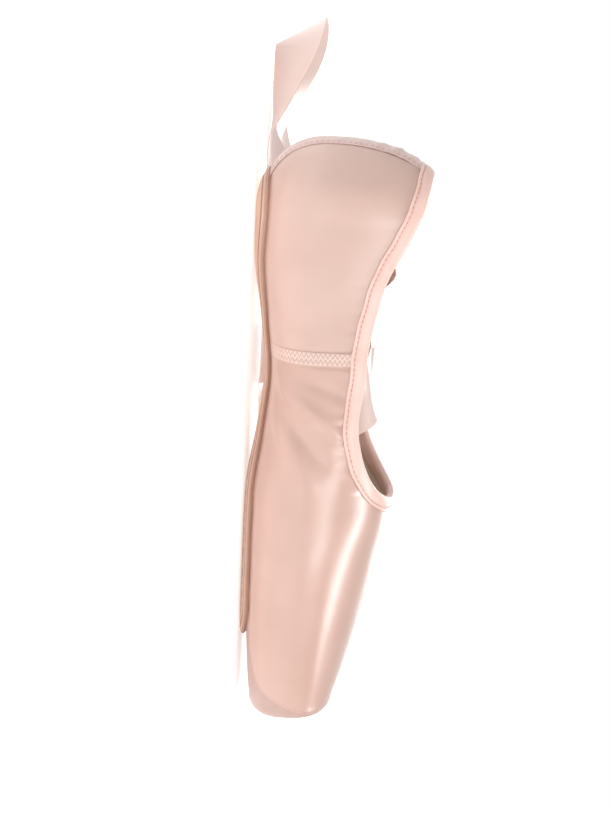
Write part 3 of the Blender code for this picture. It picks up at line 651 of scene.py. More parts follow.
# The satin puckers this far under the topline, with this height and this pitch
PUCKER_BELOW, PUCKER_HEIGHT, PUCKER_PITCH = 6.5 * MM, 0.16 * MM, 6.2 * MM
CREASES = (
    Crease(-0.0300, 0.009, -0.0190, 0.041, 0.0026, -0.00130),
    Crease(-0.0250, 0.009, -0.0040, 0.038, 0.0032, 0.00140),
    Crease(-0.0200, 0.008, 0.0080, 0.032, 0.0030, -0.00140),
    Crease(-0.0160, 0.007, 0.0170, 0.027, 0.0036, 0.00095),
    Crease(-0.0110, 0.006, 0.0260, 0.020, 0.0036, -0.00060),
    Crease(-0.0325, 0.012, -0.0290, 0.034, 0.0018, 0.00060),
    Crease(-0.0420, 0.010, -0.0500, 0.036, 0.0036, -0.00065),
    Crease(-0.0480, 0.009, -0.0640, 0.034, 0.0046, 0.00055),
    Crease(-0.0900, 0.018, -0.0860, 0.052, 0.0046, -0.00050),
    Crease(-0.1010, 0.014, -0.1000, 0.050, 0.0036, 0.00050),
    Crease(-0.1090, 0.020, -0.1070, 0.058, 0.0032, -0.00055),
)


def near_line(y, z, crease):
    """How far a place is from a crease's line, and how far along it, from 0 to 1."""
    run_y, run_z = crease.y_to - crease.y_from, crease.z_to - crease.z_from
    size = run_y**2 + run_z**2
    share = ((y - crease.y_from) * run_y + (z - crease.z_from) * run_z) / size
    held = min(1.0, max(0.0, share))
    off = math.hypot(y - crease.y_from - held * run_y, z - crease.z_from - held * run_z)
    return off, held


def relief(point, below_rim):
    """How far the satin stands off the last here: creases, puckers under the tape and the side seam."""
    y, z = point.y + 0.04 * point.x, point.z
    height = 0.0
    for crease in CREASES:
        off, held = near_line(y, z, crease)
        if off < 3 * crease.width:
            fade = 0.35 + 0.65 * math.sin(math.pi * min(1.0, held * 0.9 + 0.08))
            fade *= smooth((below_rim - 0.0035) / 0.0045)
            height += crease.depth * fade * math.exp(-((off / crease.width) ** 2))
    pucker = math.exp(-(((below_rim - PUCKER_BELOW) / 0.0035) ** 2))
    loose = smooth((0.030 - y) / 0.02) * (0.4 + 0.6 * smooth((y + 0.075) / 0.03))
    beat = math.sin(2 * math.pi * y / PUCKER_PITCH + 1.3 * math.sin(y / 0.011))
    beat += 0.5 * math.sin(2 * math.pi * y / 0.0037)
    height += PUCKER_HEIGHT * pucker * loose * beat
    band = abs(point.y - SEAM_Y)
    height += SEAM_RISE * (1 - smooth((band - SEAM_WIDTH / 2 + 0.0004) / 0.0008))
    height -= 0.00025 * math.exp(-(((band - SEAM_WIDTH / 2 - 0.0008) / 0.0006) ** 2))
    return height


# %% The rim and the seam round the toe
def upper_walks(step):
    """Sections from the back to the platform's centre, closer at the side seam, throat and edge."""
    seam = SEAM_AT * BODY
    marks = [
        (BACK, FAN_AXIS, 1.3, 1), (FAN_AXIS, seam - 0.005, 1.4, 1), (seam - 0.005, seam + 0.005, 0.45, 1),
        (seam + 0.005, THROAT - 0.02, 1.3, 1), (THROAT - 0.02, THROAT, 0.8, 2),
        (THROAT, EDGE_START, 1.7, 1), (EDGE_START, EDGE_START + EDGE_WALK, 0.7, 1),
        (EDGE_START + EDGE_WALK, CENTRE, 1.6, 1),
    ]
    walks = [BACK]
    for low, high, spacing, power in marks:
        count = max(2, round((high - low) / (spacing * step)))
        if power == 1:
            walks += [low + (high - low) * (i + 1) / count for i in range(count)]
        else:
            walks += [high - (high - low) * (1 - (i + 1) / count) ** power for i in range(count)]
    return walks


rim = []
for walk in upper_walks(1 * MM):
    if walk <= THROAT:
        rim.append(on_last(walk, top_girth(walk)))
rim = np.array([tuple(point) for point in rim])
rim_run = np.concatenate([[0], np.cumsum(np.linalg.norm(np.diff(rim, axis=0), axis=1))])
print("half the topline is", round(rim_run[-1] * 1000), "mm long")

# The toe panel's seam, as walk and distance round the section from under the sole, in metres
PANEL = np.array(
    [
        (0.150, 0.0), (0.150, 0.0240), (0.186, 0.0250), (0.205, 0.0253), (0.215, 0.0262), (0.222, 0.0285),
        (0.2275, 0.0325), (0.2315, 0.0375), (0.2345, 0.0430), (0.2365, 0.0500), (0.2375, 0.1200),
    ]
)


def to_line(points, line):
    """The distance of each point to a polyline, and how far along the line its nearest place is."""
    best = np.full(len(points), 1e9)
    run = np.zeros(len(points))
    start = 0.0
    for a, b in zip(line, line[1:]):
        step = b - a
        share = np.clip((points - a) @ step / (step @ step), 0, 1)
        off = np.linalg.norm(points - a - share[:, None] * step, axis=1)
        closer = off < best
        best = np.where(closer, off, best)
        run = np.where(closer, start + share * np.linalg.norm(step), run)
        start += np.linalg.norm(step)
    return best, run


# %% Lay the satin on the last
UPPER_COLUMNS = 132
rows, rounds, faces_out = [], [], []
walks = upper_walks(1 * MM)
for walk in walks:
    top = top_girth(walk)
    long = rib(walk).girth[-1]
    row, out, run = [], [], []
    for column in range(UPPER_COLUMNS + 1):
        share = 2 * column / UPPER_COLUMNS - 1
        near_throat = 1 - smooth((THROAT - walk) / THROAT_LENGTH)
        size = abs(share)
        girth = size - (1 - top) * size ** (1 + 1.5 * near_throat)
        point = on_last(walk, girth)
        facing = slopes_at(walk, girth)[2]
        if share < 0:
            point = Vector((-point.x, point.y, point.z))
            facing = Vector((-facing.x, facing.y, facing.z))
        row.append(point)
        out.append(facing)
        run.append(girth * long * (1 if share >= 0 else -1))
    rows.append(row)
    faces_out.append(out)
    rounds.append(run)

flat = np.array([tuple(point) for row in rows for point in row])
mirrored_flat = np.column_stack([np.abs(flat[:, 0]), flat[:, 1:]])
below_rim, _ = to_line(mirrored_flat, rim)
rounds = np.array(rounds)
walk_grid = np.repeat(np.array(walks)[:, None], UPPER_COLUMNS + 1, axis=1)
in_plane = np.stack([walk_grid.ravel(), np.abs(rounds).ravel()], axis=1)
to_panel, along_panel = to_line(in_plane, PANEL)
begins = np.interp(in_plane[:, 1], PANEL[:, 1], PANEL[:, 0])
to_panel = np.where(in_plane[:, 0] > begins, to_panel, -to_panel)

# Under the sole the satin is pulled flat, up to this far round, and then the relief grows
PULLED_FLAT, GROWS_OVER = 21 * MM, 9 * MM
PANEL_GROOVE, PANEL_GROOVE_WIDTH = 0.22 * MM, 0.55 * MM
satin_rows = []
for i, row in enumerate(rows):
    made = []
    for j, point in enumerate(row):
        k = i * (UPPER_COLUMNS + 1) + j
        lift = relief(point, below_rim[k]) * smooth((abs(rounds[i][j]) - PULLED_FLAT) / GROWS_OVER)
        lift -= PANEL_GROOVE * math.exp(-((to_panel[k] / PANEL_GROOVE_WIDTH) ** 2))
        made.append(point + faces_out[i][j] * lift)
    satin_rows.append(made)
upper = cloth_grid("upper_satin", satin_rows)
lay_uv(upper, rounds, walk_grid)
carry(upper, "seam_mm", (walk_grid - SEAM_AT * BODY) * 1000)
carry(upper, "round_mm", rounds * 1000)
carry(upper, "platform_mm", (walk_grid - EDGE_START) * 1000)
carry(upper, "panel_mm", to_panel * 1000)
carry(upper, "panel_run_mm", along_panel * 1000)
print("upper grid", len(rows), "by", UPPER_COLUMNS + 1)

# %% [markdown]
# ## Closing the upper and lining it
#
# The two halves of the grid meet at the back seam, over the vamp and in the middle of the platform, so
# their doubles are merged there. The wall comes from a Solidify modifier, and its inside gets a second
# material, because a pointe shoe is lined with plain cotton. Two empty slots are made for them first, or
# the modifier would have no second one to use.


# %% Merge and line
def close_up(piece, merge):
    """Merges a sheet where it meets itself and turns it outwards."""
    pick(piece)
    bpy.ops.object.mode_set(mode="EDIT")
    bpy.ops.mesh.select_all(action="SELECT")
    bpy.ops.mesh.remove_doubles(threshold=merge)
    bpy.ops.mesh.normals_make_consistent(inside=False)
    bpy.ops.object.mode_set(mode="OBJECT")


close_up(upper, 0.02 * MM)
upper.data.materials.append(None)
upper.data.materials.append(None)
thicken(upper, 1.2 * MM, -1.0, inner=1)
print("lining:", sum(poly.material_index == 1 for poly in upper.data.polygons), "faces")

# %% [markdown]
# ## Colours, nodes and patterns
#
# Colours are picked from the real thing as sRGB hex values, and a shader wants them linear, so one
# function turns them. Another adds a node with its settings and its links in one line. The patterns that
# the cloths share are small functions made with it: a dye that varies slowly, one colour laid over
# another, a line along a seam, a row of stitches and the long threads of the weave. They could be painted
# on images, but nodes keep each of them at its real size in millimetres.


# %% Colour and node helpers
def linear(hex_colour):
    """An sRGB hex value as a linear colour."""
    parts = [int(hex_colour[i : i + 2], 16) / 255 for i in (1, 3, 5)]
    return (*[part / 12.92 if part <= 0.04045 else ((part + 0.055) / 1.055) ** 2.4 for part in parts], 1.0)


def feed(node, inputs):
    """Sets or links a node's inputs to numbers, colours, sockets or the live output of other nodes."""
    for key, value in inputs.items():
        if isinstance(value, bpy.types.Node):
            value = next(socket for socket in value.outputs if socket.enabled)
        if isinstance(value, bpy.types.NodeSocket):
            node.id_data.links.new(value, node.inputs[key])
        else:
            node.inputs[key].default_value = value


def add_node(tree, kind, inputs=None, **settings):
    """Adds a node with its settings and its links."""
    node = tree.nodes.new("ShaderNode" + kind)
    for key, value in settings.items():
        setattr(node, key, value)
    feed(node, inputs or {})
    return node


def new_material(name, roughness, **sockets):
    """A material whose Principled shader has these fixed values, as (material, tree, shader)."""
    material = bpy.data.materials.new(name)
    material.use_nodes = True
    tree = material.node_tree
    shader = tree.nodes["Principled BSDF"]
    feed(shader, {"Roughness": roughness, "Metallic": 0.0})
    feed(shader, {key.replace("_", " "): value for key, value in sockets.items()})
    return material, tree, shader


def dress(piece, material):
    """Makes this the piece's only material."""
    piece.data.materials.clear()
    piece.data.materials.append(material)


# %% Dyes
def blotches(tree, size_mm, low, high):
    """A slow noise over the piece, between two numbers."""
    place = add_node(tree, "TexCoord").outputs["Object"]
    noise = add_node(tree, "TexNoise", {"Vector": place, "Scale": 1 / (size_mm * MM), "Detail": 1.5})
    inputs = {"Value": noise.outputs["Fac"], "From Min": 0.1, "From Max": 0.9, "To Min": low, "To Max": high}
    return add_node(tree, "MapRange", inputs)


def dyed(tree, size_mm, first, second):
    """A colour that varies slowly between two dyes."""
    inputs = {0: blotches(tree, size_mm, 0, 1), 6: linear(first), 7: linear(second)}
    return add_node(tree, "Mix", inputs, data_type="RGBA")


def laid_over(tree, below, mask, strength, above):
    """One colour over another, this strong where the mask is 1."""
    share = add_node(tree, "Math", {0: mask, 1: strength}, operation="MULTIPLY")
    return add_node(tree, "Mix", {0: share, 6: below, 7: above}, data_type="RGBA")


# %% Lines, stitches and threads
def rises(tree, value, start, width):
    """0 until the value passes the start, then up to 1 over this width, or down from 1 if it is negative."""
    past = add_node(tree, "Math", {0: value, 1: start}, operation="SUBTRACT")
    return add_node(tree, "Math", {0: past, 1: width}, operation="DIVIDE", use_clamp=True)


def line_at(tree, distance, at, half_width, soft):
    """1 where the distance is within half a width of this one, falling to 0 over a soft edge."""
    away = add_node(tree, "Math", {0: distance, 1: at}, operation="SUBTRACT")
    away = add_node(tree, "Math", {0: away}, operation="ABSOLUTE")
    return rises(tree, away, half_width + soft, -soft)


def stitch_row(tree, distance, at, along, pitch, half_width=0.14, soft=0.15):
    """1 on the stitches of a row at this distance, each 0.62 of the pitch long, all in millimetres."""
    line = line_at(tree, distance, at, half_width, soft)
    beat = add_node(tree, "Math", {0: along, 1: pitch / 2}, operation="PINGPONG")
    thread = rises(tree, beat, 0.62 * pitch / 2, -0.15)
    return add_node(tree, "Math", {0: line, 1: thread}, operation="MULTIPLY")


def floats(tree, across_mm, along_mm, height_mm):
    """A bump of long threads, this wide, long and high, on the piece's UV map in metres."""
    place = add_node(tree, "UVMap", uv_map="cloth").outputs["UV"]
    scale = (1 / (across_mm * MM), 1 / (along_mm * MM), 1.0)
    scaled = add_node(tree, "Mapping", {"Vector": place, "Scale": scale})
    noise = add_node(tree, "TexNoise", {"Vector": scaled, "Scale": 1.0, "Detail": 2.0})
    return add_node(tree, "Bump", {"Height": noise.outputs["Fac"], "Distance": height_mm * MM})


print("helpers ready")

# %% [markdown]
# ## Satin and cotton
#
# Satin is woven with long floats that lie side by side on its face, so it is smooth along its threads and
# faintly ribbed across them. A photograph of it shows wide soft highlights that nearly turn white. The
# floats are about a tenth of a millimetre apart, too fine for the picture, so they are drawn 0.7 mm apart
# with a very low bump. The quarters are a duller stretch satin and the panel under the toe is brushed, so
# both are rougher. Rows of stitches are drawn from the distances that the mesh carries.

# %% The upper's satin
# Woven satin: anisotropic along its floats, with a wide soft coat that gives the long white highlight.
# Its roughness stays over 0.28, or the denoiser draws outlines round the smoothest patches.
satin, tree, shader = new_material(
    "woven satin",
    0.3,
    IOR=1.55,
    Anisotropic=0.5,
    Anisotropic_Rotation=0.25,
    Specular_IOR_Level=0.75,
    Coat_Weight=0.7,
    Coat_Roughness=0.4,
)
seam, panel, panel_run, round_mm, platform = (
    add_node(tree, "Attribute", attribute_name=name).outputs["Fac"]
    for name in ("seam_mm", "panel_mm", "panel_run_mm", "round_mm", "platform_mm")
)
in_quarter = rises(tree, seam, 0.5, -1.0)
in_panel = rises(tree, panel, -0.25, 0.5)
colour = dyed(tree, 24, "#c9a597", "#bb9586")
colour = laid_over(tree, colour, in_quarter, 1.0, dyed(tree, 20, "#ceaea1", "#c4a194"))
colour = laid_over(tree, colour, in_panel, 1.0, dyed(tree, 9, "#bd9c91", "#ad8b80"))
# Painted shade: the platform's face is darkened towards the tip, standing in for the shadow along the tip's
# edge.
colour = laid_over(tree, colour, rises(tree, platform, 1.0, 6.0), 0.4, linear("#a58577"))
colour = laid_over(tree, colour, line_at(tree, seam, 0.0, 2.4, 0.3), 0.6, linear("#e8d0c4"))

# %% Stitches of the side seam and of the toe panel
ZIGZAG_PITCH = 1.9
stitches = line_at(tree, seam, -2.5, 0.12, 0.15)
for zigzag_at in (-1.2, 1.2):
    beat = add_node(tree, "Math", {0: round_mm, 1: ZIGZAG_PITCH / 2}, operation="PINGPONG")
    across = add_node(tree, "Math", {0: beat, 1: -2.0, 2: seam}, operation="MULTIPLY_ADD")
    thread = line_at(tree, across, zigzag_at - ZIGZAG_PITCH / 2, 0.26, 0.22)
    stitches = add_node(tree, "Math", {0: stitches, 1: thread}, operation="MAXIMUM")
panel_row = stitch_row(tree, panel, -1.2, panel_run, 1.9, 0.15, 0.12)
stitches = add_node(tree, "Math", {0: stitches, 1: panel_row}, operation="MAXIMUM")
colour = laid_over(tree, colour, stitches, 0.7, linear("#b98a7b"))
colour = laid_over(tree, colour, line_at(tree, panel, 0.0, 0.12, 0.25), 0.7, linear("#b98f80"))
rough = blotches(tree, 12, 0.285, 0.345)
rough = add_node(tree, "Math", {0: in_quarter, 1: 0.08, 2: rough}, operation="MULTIPLY_ADD")
rough = add_node(tree, "Math", {0: in_panel, 1: 0.3, 2: rough}, operation="MULTIPLY_ADD")
weave = floats(tree, 0.7, 12.0, 0.012)
normal = add_node(tree, "Bump", {"Height": stitches, "Distance": 0.12 * MM, "Normal": weave})
tangent = add_node(tree, "Tangent", direction_type="UV_MAP", uv_map="cloth")
feed(shader, {"Base Color": colour, "Roughness": rough, "Normal": normal, "Tangent": tangent})

# %% The cotton lining
# Cotton drill: matt, cream and a little fuzzy. Its threads are taken as 0.4 mm apart and are drawn
# 0.6 mm apart, or they wouldn't show.
cotton, tree, shader = new_material("cotton drill lining", 0.85, IOR=1.45, Sheen_Weight=0.2)
colour = dyed(tree, 10, "#f4e8dc", "#ebdccd")
feed(shader, {"Base Color": colour, "Normal": floats(tree, 0.6, 1.2, 0.04)})
upper.data.materials[0] = satin
upper.data.materials[1] = cotton
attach(upper, "root")
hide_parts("upper")
print("upper:", len(upper.data.polygons), "faces")

# %% [markdown]
# ## The taped topline
#
# A satin tape 5 to 6 mm deep is folded over the raw edge of the upper and stitched through near its lower
# edge. It could be a curve with a bevel profile, but the tape has to hug a wall that leans and turns,
# so it is a grid again, rolled up both ways: each row is a narrow folded profile closed on itself, the
# last row meets the first, and the stitches pucker it a little.


# %% A ring of places round the topline
def rim_ring(step):
    """(walk, girth, away, side) round the whole topline, from the throat over the right side and back."""
    walks = [walk for walk in reversed(upper_walks(step)) if walk <= THROAT]
    points = [on_last(walk, top_girth(walk)) for walk in walks]
    places = []
    for i, walk in enumerate(walks):
        flip = Vector((-1, 1, 1))
        before = points[i - 1] if i else points[1] * flip
        after = points[i + 1] if i + 1 < len(points) else points[-2] * flip
        facing = slopes_at(walk, top_girth(walk))[2]
        places.append((walk, top_girth(walk), facing.cross(after - before).normalized(), 1))
    mirrored_places = [(walk, girth, away, -1) for walk, girth, away, _ in reversed(places[1:-1])]
    return places + mirrored_places


def off_rim(place, below, over):
    """A point this far below the topline and this far over the last."""
    walk, girth, away, side = place
    onward, upward, _ = slopes_at(walk, girth)
    a, b, c = onward.dot(onward), onward.dot(upward), upward.dot(upward)
    p, q = away.dot(onward), away.dot(upward)
    size = a * c - b * b
    walk += below * (p * c - q * b) / size
    girth += below * (q * a - p * b) / size
    point = on_last(walk, girth) + slopes_at(walk, girth)[2] * over
    return Vector((side * point.x, point.y, point.z))


# %% Fold the tape over the topline
STITCHES_BELOW = 4.2
PROFILE = (
    # below the topline and over the last, in millimetres, round the folded tape from its outer lower edge
    (5.60, 0.30), (5.65, 0.62), (5.45, 0.88), (5.00, 0.98), (4.55, 0.78), (4.20, 0.64), (3.85, 0.78),
    (3.40, 1.02), (2.60, 1.10), (1.60, 1.08), (0.70, 1.04), (-0.15, 0.90), (-0.75, 0.45), (-0.98, -0.30),
    (-0.90, -1.10), (-0.50, -1.75), (0.10, -2.10), (1.20, -2.20), (2.60, -2.20), (4.00, -2.15),
    (5.00, -2.05), (5.20, -1.75), (5.10, -1.35), (3.00, -1.25), (0.30, -1.22), (-0.35, -0.90),
    (-0.45, -0.30), (-0.20, 0.15), (1.50, 0.22), (3.60, 0.22),
)
places = rim_ring(1.0 * MM)
places.append(places[0])
ring_points = [off_rim(place, 0, 0) for place in places]
ring_run = np.cumsum([0] + [(b - a).length for a, b in zip(ring_points, ring_points[1:])])
ring_run = np.minimum(ring_run, ring_run[-1] - ring_run)
tape_rows, run_mm, below_mm = [], [], []
for place, run, base in zip(places, ring_run, ring_points):
    points = []
    loose = smooth((0.034 - base.y) / 0.02)
    beat = math.sin(2 * math.pi * run / 0.0044 + 1.1 * math.sin(run / 0.013)) * loose
    slow = math.sin(2 * math.pi * run / 0.0135 + 0.7 * math.sin(run / 0.021))
    for below, over in PROFILE + PROFILE[:1]:
        near_stitch = math.exp(-(((below - STITCHES_BELOW) / 1.5) ** 2)) if over > 0 else 0.0
        swell = (0.10 * beat + 0.05 * slow) * near_stitch if over > 0.3 else 0.0
        points.append(off_rim(place, (below + 0.12 * slow * (below > 3)) * MM, (over + swell) * MM))
        run_mm.append(run * 1000)
        below_mm.append(below if over > 0 else -2.0)
    tape_rows.append(points)
binding = cloth_grid("topline_tape", tape_rows)
carry(binding, "run_mm", run_mm)
carry(binding, "below_mm", below_mm)
lay_uv(binding, np.array(below_mm) * MM, np.array(run_mm) * MM)
close_up(binding, 0.02 * MM)
bpy.ops.object.shade_smooth_by_angle(angle=math.radians(60))
print("tape round", round(2 * max(ring_run) * 1000), "mm of topline,", len(binding.data.polygons), "faces")

# %% The tape's satin
# Folded satin tape: softer and a little fuzzier than the upper, because it is bent round an edge. Its
# threads are drawn nearly as coarse as the upper's. The stitches' pitch of 2.1 mm is an estimate.
tape_satin, tree, shader = new_material(
    "folded satin tape", 0.36, IOR=1.5, Anisotropic=0.3, Sheen_Weight=0.12
)
below, run = (
    add_node(tree, "Attribute", attribute_name=name).outputs["Fac"] for name in ("below_mm", "run_mm")
)
stitches = stitch_row(tree, below, STITCHES_BELOW, run, 2.1, 0.13)
colour = dyed(tree, 11, "#e8c8be", "#deb6aa")
# A soft darker line along the stitched groove: partly the seam's own darker line, partly painted shade in
# the groove.
colour = laid_over(tree, colour, line_at(tree, below, STITCHES_BELOW, 0.1, 0.5), 0.45, linear("#d7a496"))
colour = laid_over(tree, colour, stitches, 0.8, linear("#c08a7c"))
weave = floats(tree, 0.6, 4.0, 0.015)
normal = add_node(tree, "Bump", {"Height": stitches, "Distance": 0.1 * MM, "Normal": weave})
feed(shader, {"Base Color": colour, "Roughness": blotches(tree, 6, 0.32, 0.42), "Normal": normal})
dress(binding, tape_satin)
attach(binding, "root")
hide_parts("topline_binding")

# %% [markdown]
# ## The heel strip
#
# A strip of satin about 18 mm wide covers the back seam, its edges folded under and held by two rows of
# stitches. It is gathered a little near the topline, where it turns in under the tape. It is a small grid
# on the last again, a fraction of a millimetre proud, with the wrinkles moved in by a few waves.


# %% Lay the strip over the back seam
def walk_at_side(girth, x):
    """The section near the back that is this far from the shoe's middle plane at this girth."""
    low, high = BACK, FAN_AXIS
    for _ in range(24):
        middle = (low + high) / 2
        if on_last(middle, girth).x < x:
            low = middle
        else:
            high = middle
    return low


STRIP_ROWS, STRIP_COLUMNS = 84, 24
STRIP_HEIGHT = 62 * MM
strip_rows, strip_x, strip_up = [], [], []
for row in range(STRIP_ROWS + 1):
    made, xs, ups = [], [], []
    for column in range(STRIP_COLUMNS + 1):
        share = 2 * column / STRIP_COLUMNS - 1
        x = STRIP_WIDTH / 2 * abs(share)
        walk = walk_at_side(top_girth(BACK), x)
        high = top_girth(walk) - 0.0045 / rib(walk).girth[-1]
        low = girth_under(walk, sole_reach(walk) - 0.0015)
        girth = low + (high - low) * row / STRIP_ROWS
        walk = walk_at_side(girth, x)
        facing = slopes_at(walk, girth)[2]
        up = row / STRIP_ROWS
        gather = smooth((up - 0.55) / 0.3) * smooth((1.0 - up) / 0.08)
        wave = math.sin(2 * math.pi * up * 10 + 2.2 * share)
        wave += 0.6 * math.sin(2 * math.pi * up * 19 - 2.9 * share)
        wave += 0.5 * math.sin(2 * math.pi * up * 5 + 0.7)
        pinched = 1 - math.exp(-(((abs(share) - 0.76) / 0.1) ** 2))
        over = 0.55 + 0.30 * gather * (wave + 1.2) * (1 - 0.7 * share**2)
        over += 0.10 * pinched + 0.05 * math.sin(9 * up + 2 * share)
        over -= 0.35 * smooth((abs(share) - 0.93) / 0.07)
        point = on_last(walk, girth) + facing * over * MM
        made.append(Vector((point.x * (1 if share >= 0 else -1), point.y, point.z)))
        xs.append(x * (1 if share >= 0 else -1))
        ups.append(up * STRIP_HEIGHT)
    strip_rows.append(made)
    strip_x.append(xs)
    strip_up.append(ups)
strip = cloth_grid("heel_strip_satin", strip_rows)
lay_uv(strip, strip_x, strip_up)
carry(strip, "across_mm", np.array(strip_x) * 1000)
carry(strip, "up_mm", np.array(strip_up) * 1000)
if sum(poly.normal.y for poly in strip.data.polygons) > 0:
    strip.data.flip_normals()
thicken(strip, 0.3 * MM, -1.0)

# %% The strip's satin
# Gathered strip satin: the upper's cloth with its gloss broken by the gathers
strip_satin, tree, shader = new_material(
    "gathered strip satin", 0.4, IOR=1.5, Anisotropic=0.3, Sheen_Weight=0.15
)
across, up = (
    add_node(tree, "Attribute", attribute_name=name).outputs["Fac"] for name in ("across_mm", "up_mm")
)
across = add_node(tree, "Math", {0: across}, operation="ABSOLUTE")
both_rows = {i: stitch_row(tree, across, at, up, 2.0) for i, at in enumerate((6.6, 7.9))}
stitches = add_node(tree, "Math", both_rows, operation="MAXIMUM")
colour = dyed(tree, 8, "#d8bcb5", "#ccaea6")
colour = laid_over(tree, colour, stitches, 0.85, linear("#a8766a"))
weave = floats(tree, 0.6, 5.0, 0.02)
normal = add_node(tree, "Bump", {"Height": stitches, "Distance": 0.1 * MM, "Normal": weave})
feed(shader, {"Base Color": colour, "Roughness": blotches(tree, 7, 0.33, 0.48), "Normal": normal})
dress(strip, strip_satin)
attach(strip, "root")
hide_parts("heel_strip")

# %% [markdown]
# ## The outsole
#
# One piece of leather, narrow at the waist, its edge pared thin. It is glued on and sewn in a groove that
# runs just inside its edge, and its forefoot is embossed with a lattice for grip. The embossing here is a
# plain diamond lattice with a small lozenge in each field. The tread is far too fine to cut with geometry
# for a picture of a whole shoe, so the material draws it from the piece's own coordinates.


# %% Cut the outsole
def out_to(walk, out, depth):
    """A point on the underside, or below it, on either side of the centre line."""
    point = under_last(walk, abs(out), depth)
    return Vector((math.copysign(point.x, out), point.y, point.z))


def sole_rows(toe, rounding, step):
    walks = [BACK + (FAN_AXIS - BACK) * i / 36 for i in range(37)]
    count = round((toe - rounding - FAN_AXIS) / step)
    walks += [FAN_AXIS + (toe - rounding - FAN_AXIS) * (i + 1) / count for i in range(count)]
    return walks + [toe - rounding * (1 - (i + 1) / 22) ** 2 for i in range(22)]


SOLE_SHARES = [math.sin(math.pi / 2 * (2 * j / 44 - 1)) for j in range(45)]


def sole_sheet(name, toe, step, reach_at, depth_at):
    """A grid along the underside, with its rows of points and how far out each of them is."""
    rows, outs = [], []
    for walk in sole_rows(toe, SOLE_ROUND, step):
        reach = reach_at(walk)
        row = [out_to(walk, reach * share, depth_at(walk, reach, share)) for share in SOLE_SHARES]
        for point in row:
            point.z = max(0.0, point.z)
        rows.append(row)
        outs.append([reach * share for share in SOLE_SHARES])
    piece = cloth_grid(name, rows)
    lay_uv(piece, outs, np.array([[point.y for point in row] for row in rows]))
    return piece, rows


def close_sole(piece, up):
    """Merges a sole's sheet, faces it up for 1 and down for -1, and gives it its wall."""
    close_up(piece, 0.03 * MM)
    if up * sum(poly.normal.z * poly.area for poly in piece.data.polygons) < 0:
        piece.data.flip_normals()
    thicken(piece, 1.2 * MM, -1.0)


def outsole_reach(walk):
    return 0.993 * sole_reach(walk)


def outsole_depth(_, reach, share):
    """Its lower face, with the pared edge rounded off and the groove of the sole's seam."""
    thickness = SOLE_THICKNESS + (SOLE_EDGE_THICKNESS - SOLE_THICKNESS) * share**4
    to_edge = reach * (1 - abs(share))
    rounded = 0.0006 * (1 - smooth(to_edge / 0.0012))
    groove = 0.00035 * math.exp(-(((to_edge - 0.0028) / 0.0007) ** 2))
    return -SOLE_GAP - thickness + rounded + groove


outsole, rows = sole_sheet("outsole_leather", SOLE_TOE, 1.5 * MM, outsole_reach, outsole_depth)
outline = np.array([(row[-1].x, row[-1].y) for row in rows])
flat_sole = np.array([(abs(point.x), point.y) for row in rows for point in row])
edge_mm, _ = to_line(flat_sole, outline)
carry(outsole, "edge_mm", edge_mm * 1000)
close_sole(outsole, -1)

# %% Embossed leather
# Sole leather: dry and matt, pressed with a lattice that is darker than the grain. The lattice is 9 mm
# apart and pressed in 0.35 mm deep, and the pores are drawn 0.9 mm wide, coarser than they are.
leather, tree, shader = new_material("embossed sole leather", 0.55, IOR=1.5)
edge = add_node(tree, "Attribute", attribute_name="edge_mm").outputs["Fac"]
place = add_node(tree, "TexCoord").outputs["Object"]
split = add_node(tree, "SeparateXYZ", {"Vector": place})
x, y = split.outputs["X"], split.outputs["Y"]
LATTICE_PITCH = 9.0 * MM
LATTICE_SLANT = 1.15
FOREFOOT_FROM = -4.0 * MM
diagonals = {}
for i, slant in enumerate((LATTICE_SLANT, -LATTICE_SLANT)):
    run = add_node(tree, "Math", {0: x, 1: slant, 2: y}, operation="MULTIPLY_ADD")
    turns = add_node(tree, "Math", {0: run, 1: LATTICE_PITCH}, operation="DIVIDE")
    diagonals[i] = add_node(tree, "Math", {0: turns, 1: 0.5}, operation="PINGPONG")
lines = rises(tree, add_node(tree, "Math", diagonals, operation="MINIMUM"), 0.062, -0.03)
lozenge = rises(tree, add_node(tree, "Math", diagonals, operation="ADD"), 0.86, 0.03)
lozenge = add_node(tree, "Math", {0: lozenge, 1: 0.8}, operation="MULTIPLY")
in_field = {0: rises(tree, y, FOREFOOT_FROM, 4.0 * MM), 1: rises(tree, edge, 4.2, 0.3)}
field = add_node(tree, "Math", in_field, operation="MULTIPLY")
pattern = add_node(tree, "Math", {0: lines, 1: lozenge}, operation="MAXIMUM")
pattern = add_node(tree, "Math", {0: pattern, 1: field}, operation="MULTIPLY")

# %% The leather's colours, grain and embossing
colour = dyed(tree, 14, "#ddbfae", "#d2b09c")
colour = laid_over(tree, colour, field, 0.5, linear("#bfa192"))
colour = laid_over(tree, colour, pattern, 0.8, linear("#7a5a48"))
colour = laid_over(tree, colour, line_at(tree, edge, 2.8, 0.25, 0.35), 0.75, linear("#8d5f4e"))
# Painted shade: the outsole darkens over its last 0.9 mm, standing in for the shadow line between its edge
# and the upper.
colour = laid_over(tree, colour, rises(tree, edge, 0.9, -0.5), 0.65, linear("#a07766"))
grain = add_node(tree, "TexNoise", {"Vector": place, "Scale": 1 / (0.9 * MM), "Detail": 4.0})
grained = add_node(tree, "Bump", {"Height": grain.outputs["Fac"], "Strength": 0.6, "Distance": 0.05 * MM})
inputs = {"Height": pattern, "Distance": 0.35 * MM, "Normal": grained}
pressed = add_node(tree, "Bump", inputs, invert=True)
feed(shader, {"Base Color": colour, "Roughness": blotches(tree, 5, 0.5, 0.65), "Normal": pressed})
dress(outsole, leather)
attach(outsole, "root")
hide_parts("outsole")

# %% [markdown]
# ## The insole
#
# Inside lies a thin board with a cotton cover, on which the foot stands. It is cut a little narrower than
# the last and follows its underside, so it is the same kind of sheet as the outsole, on the inner side.


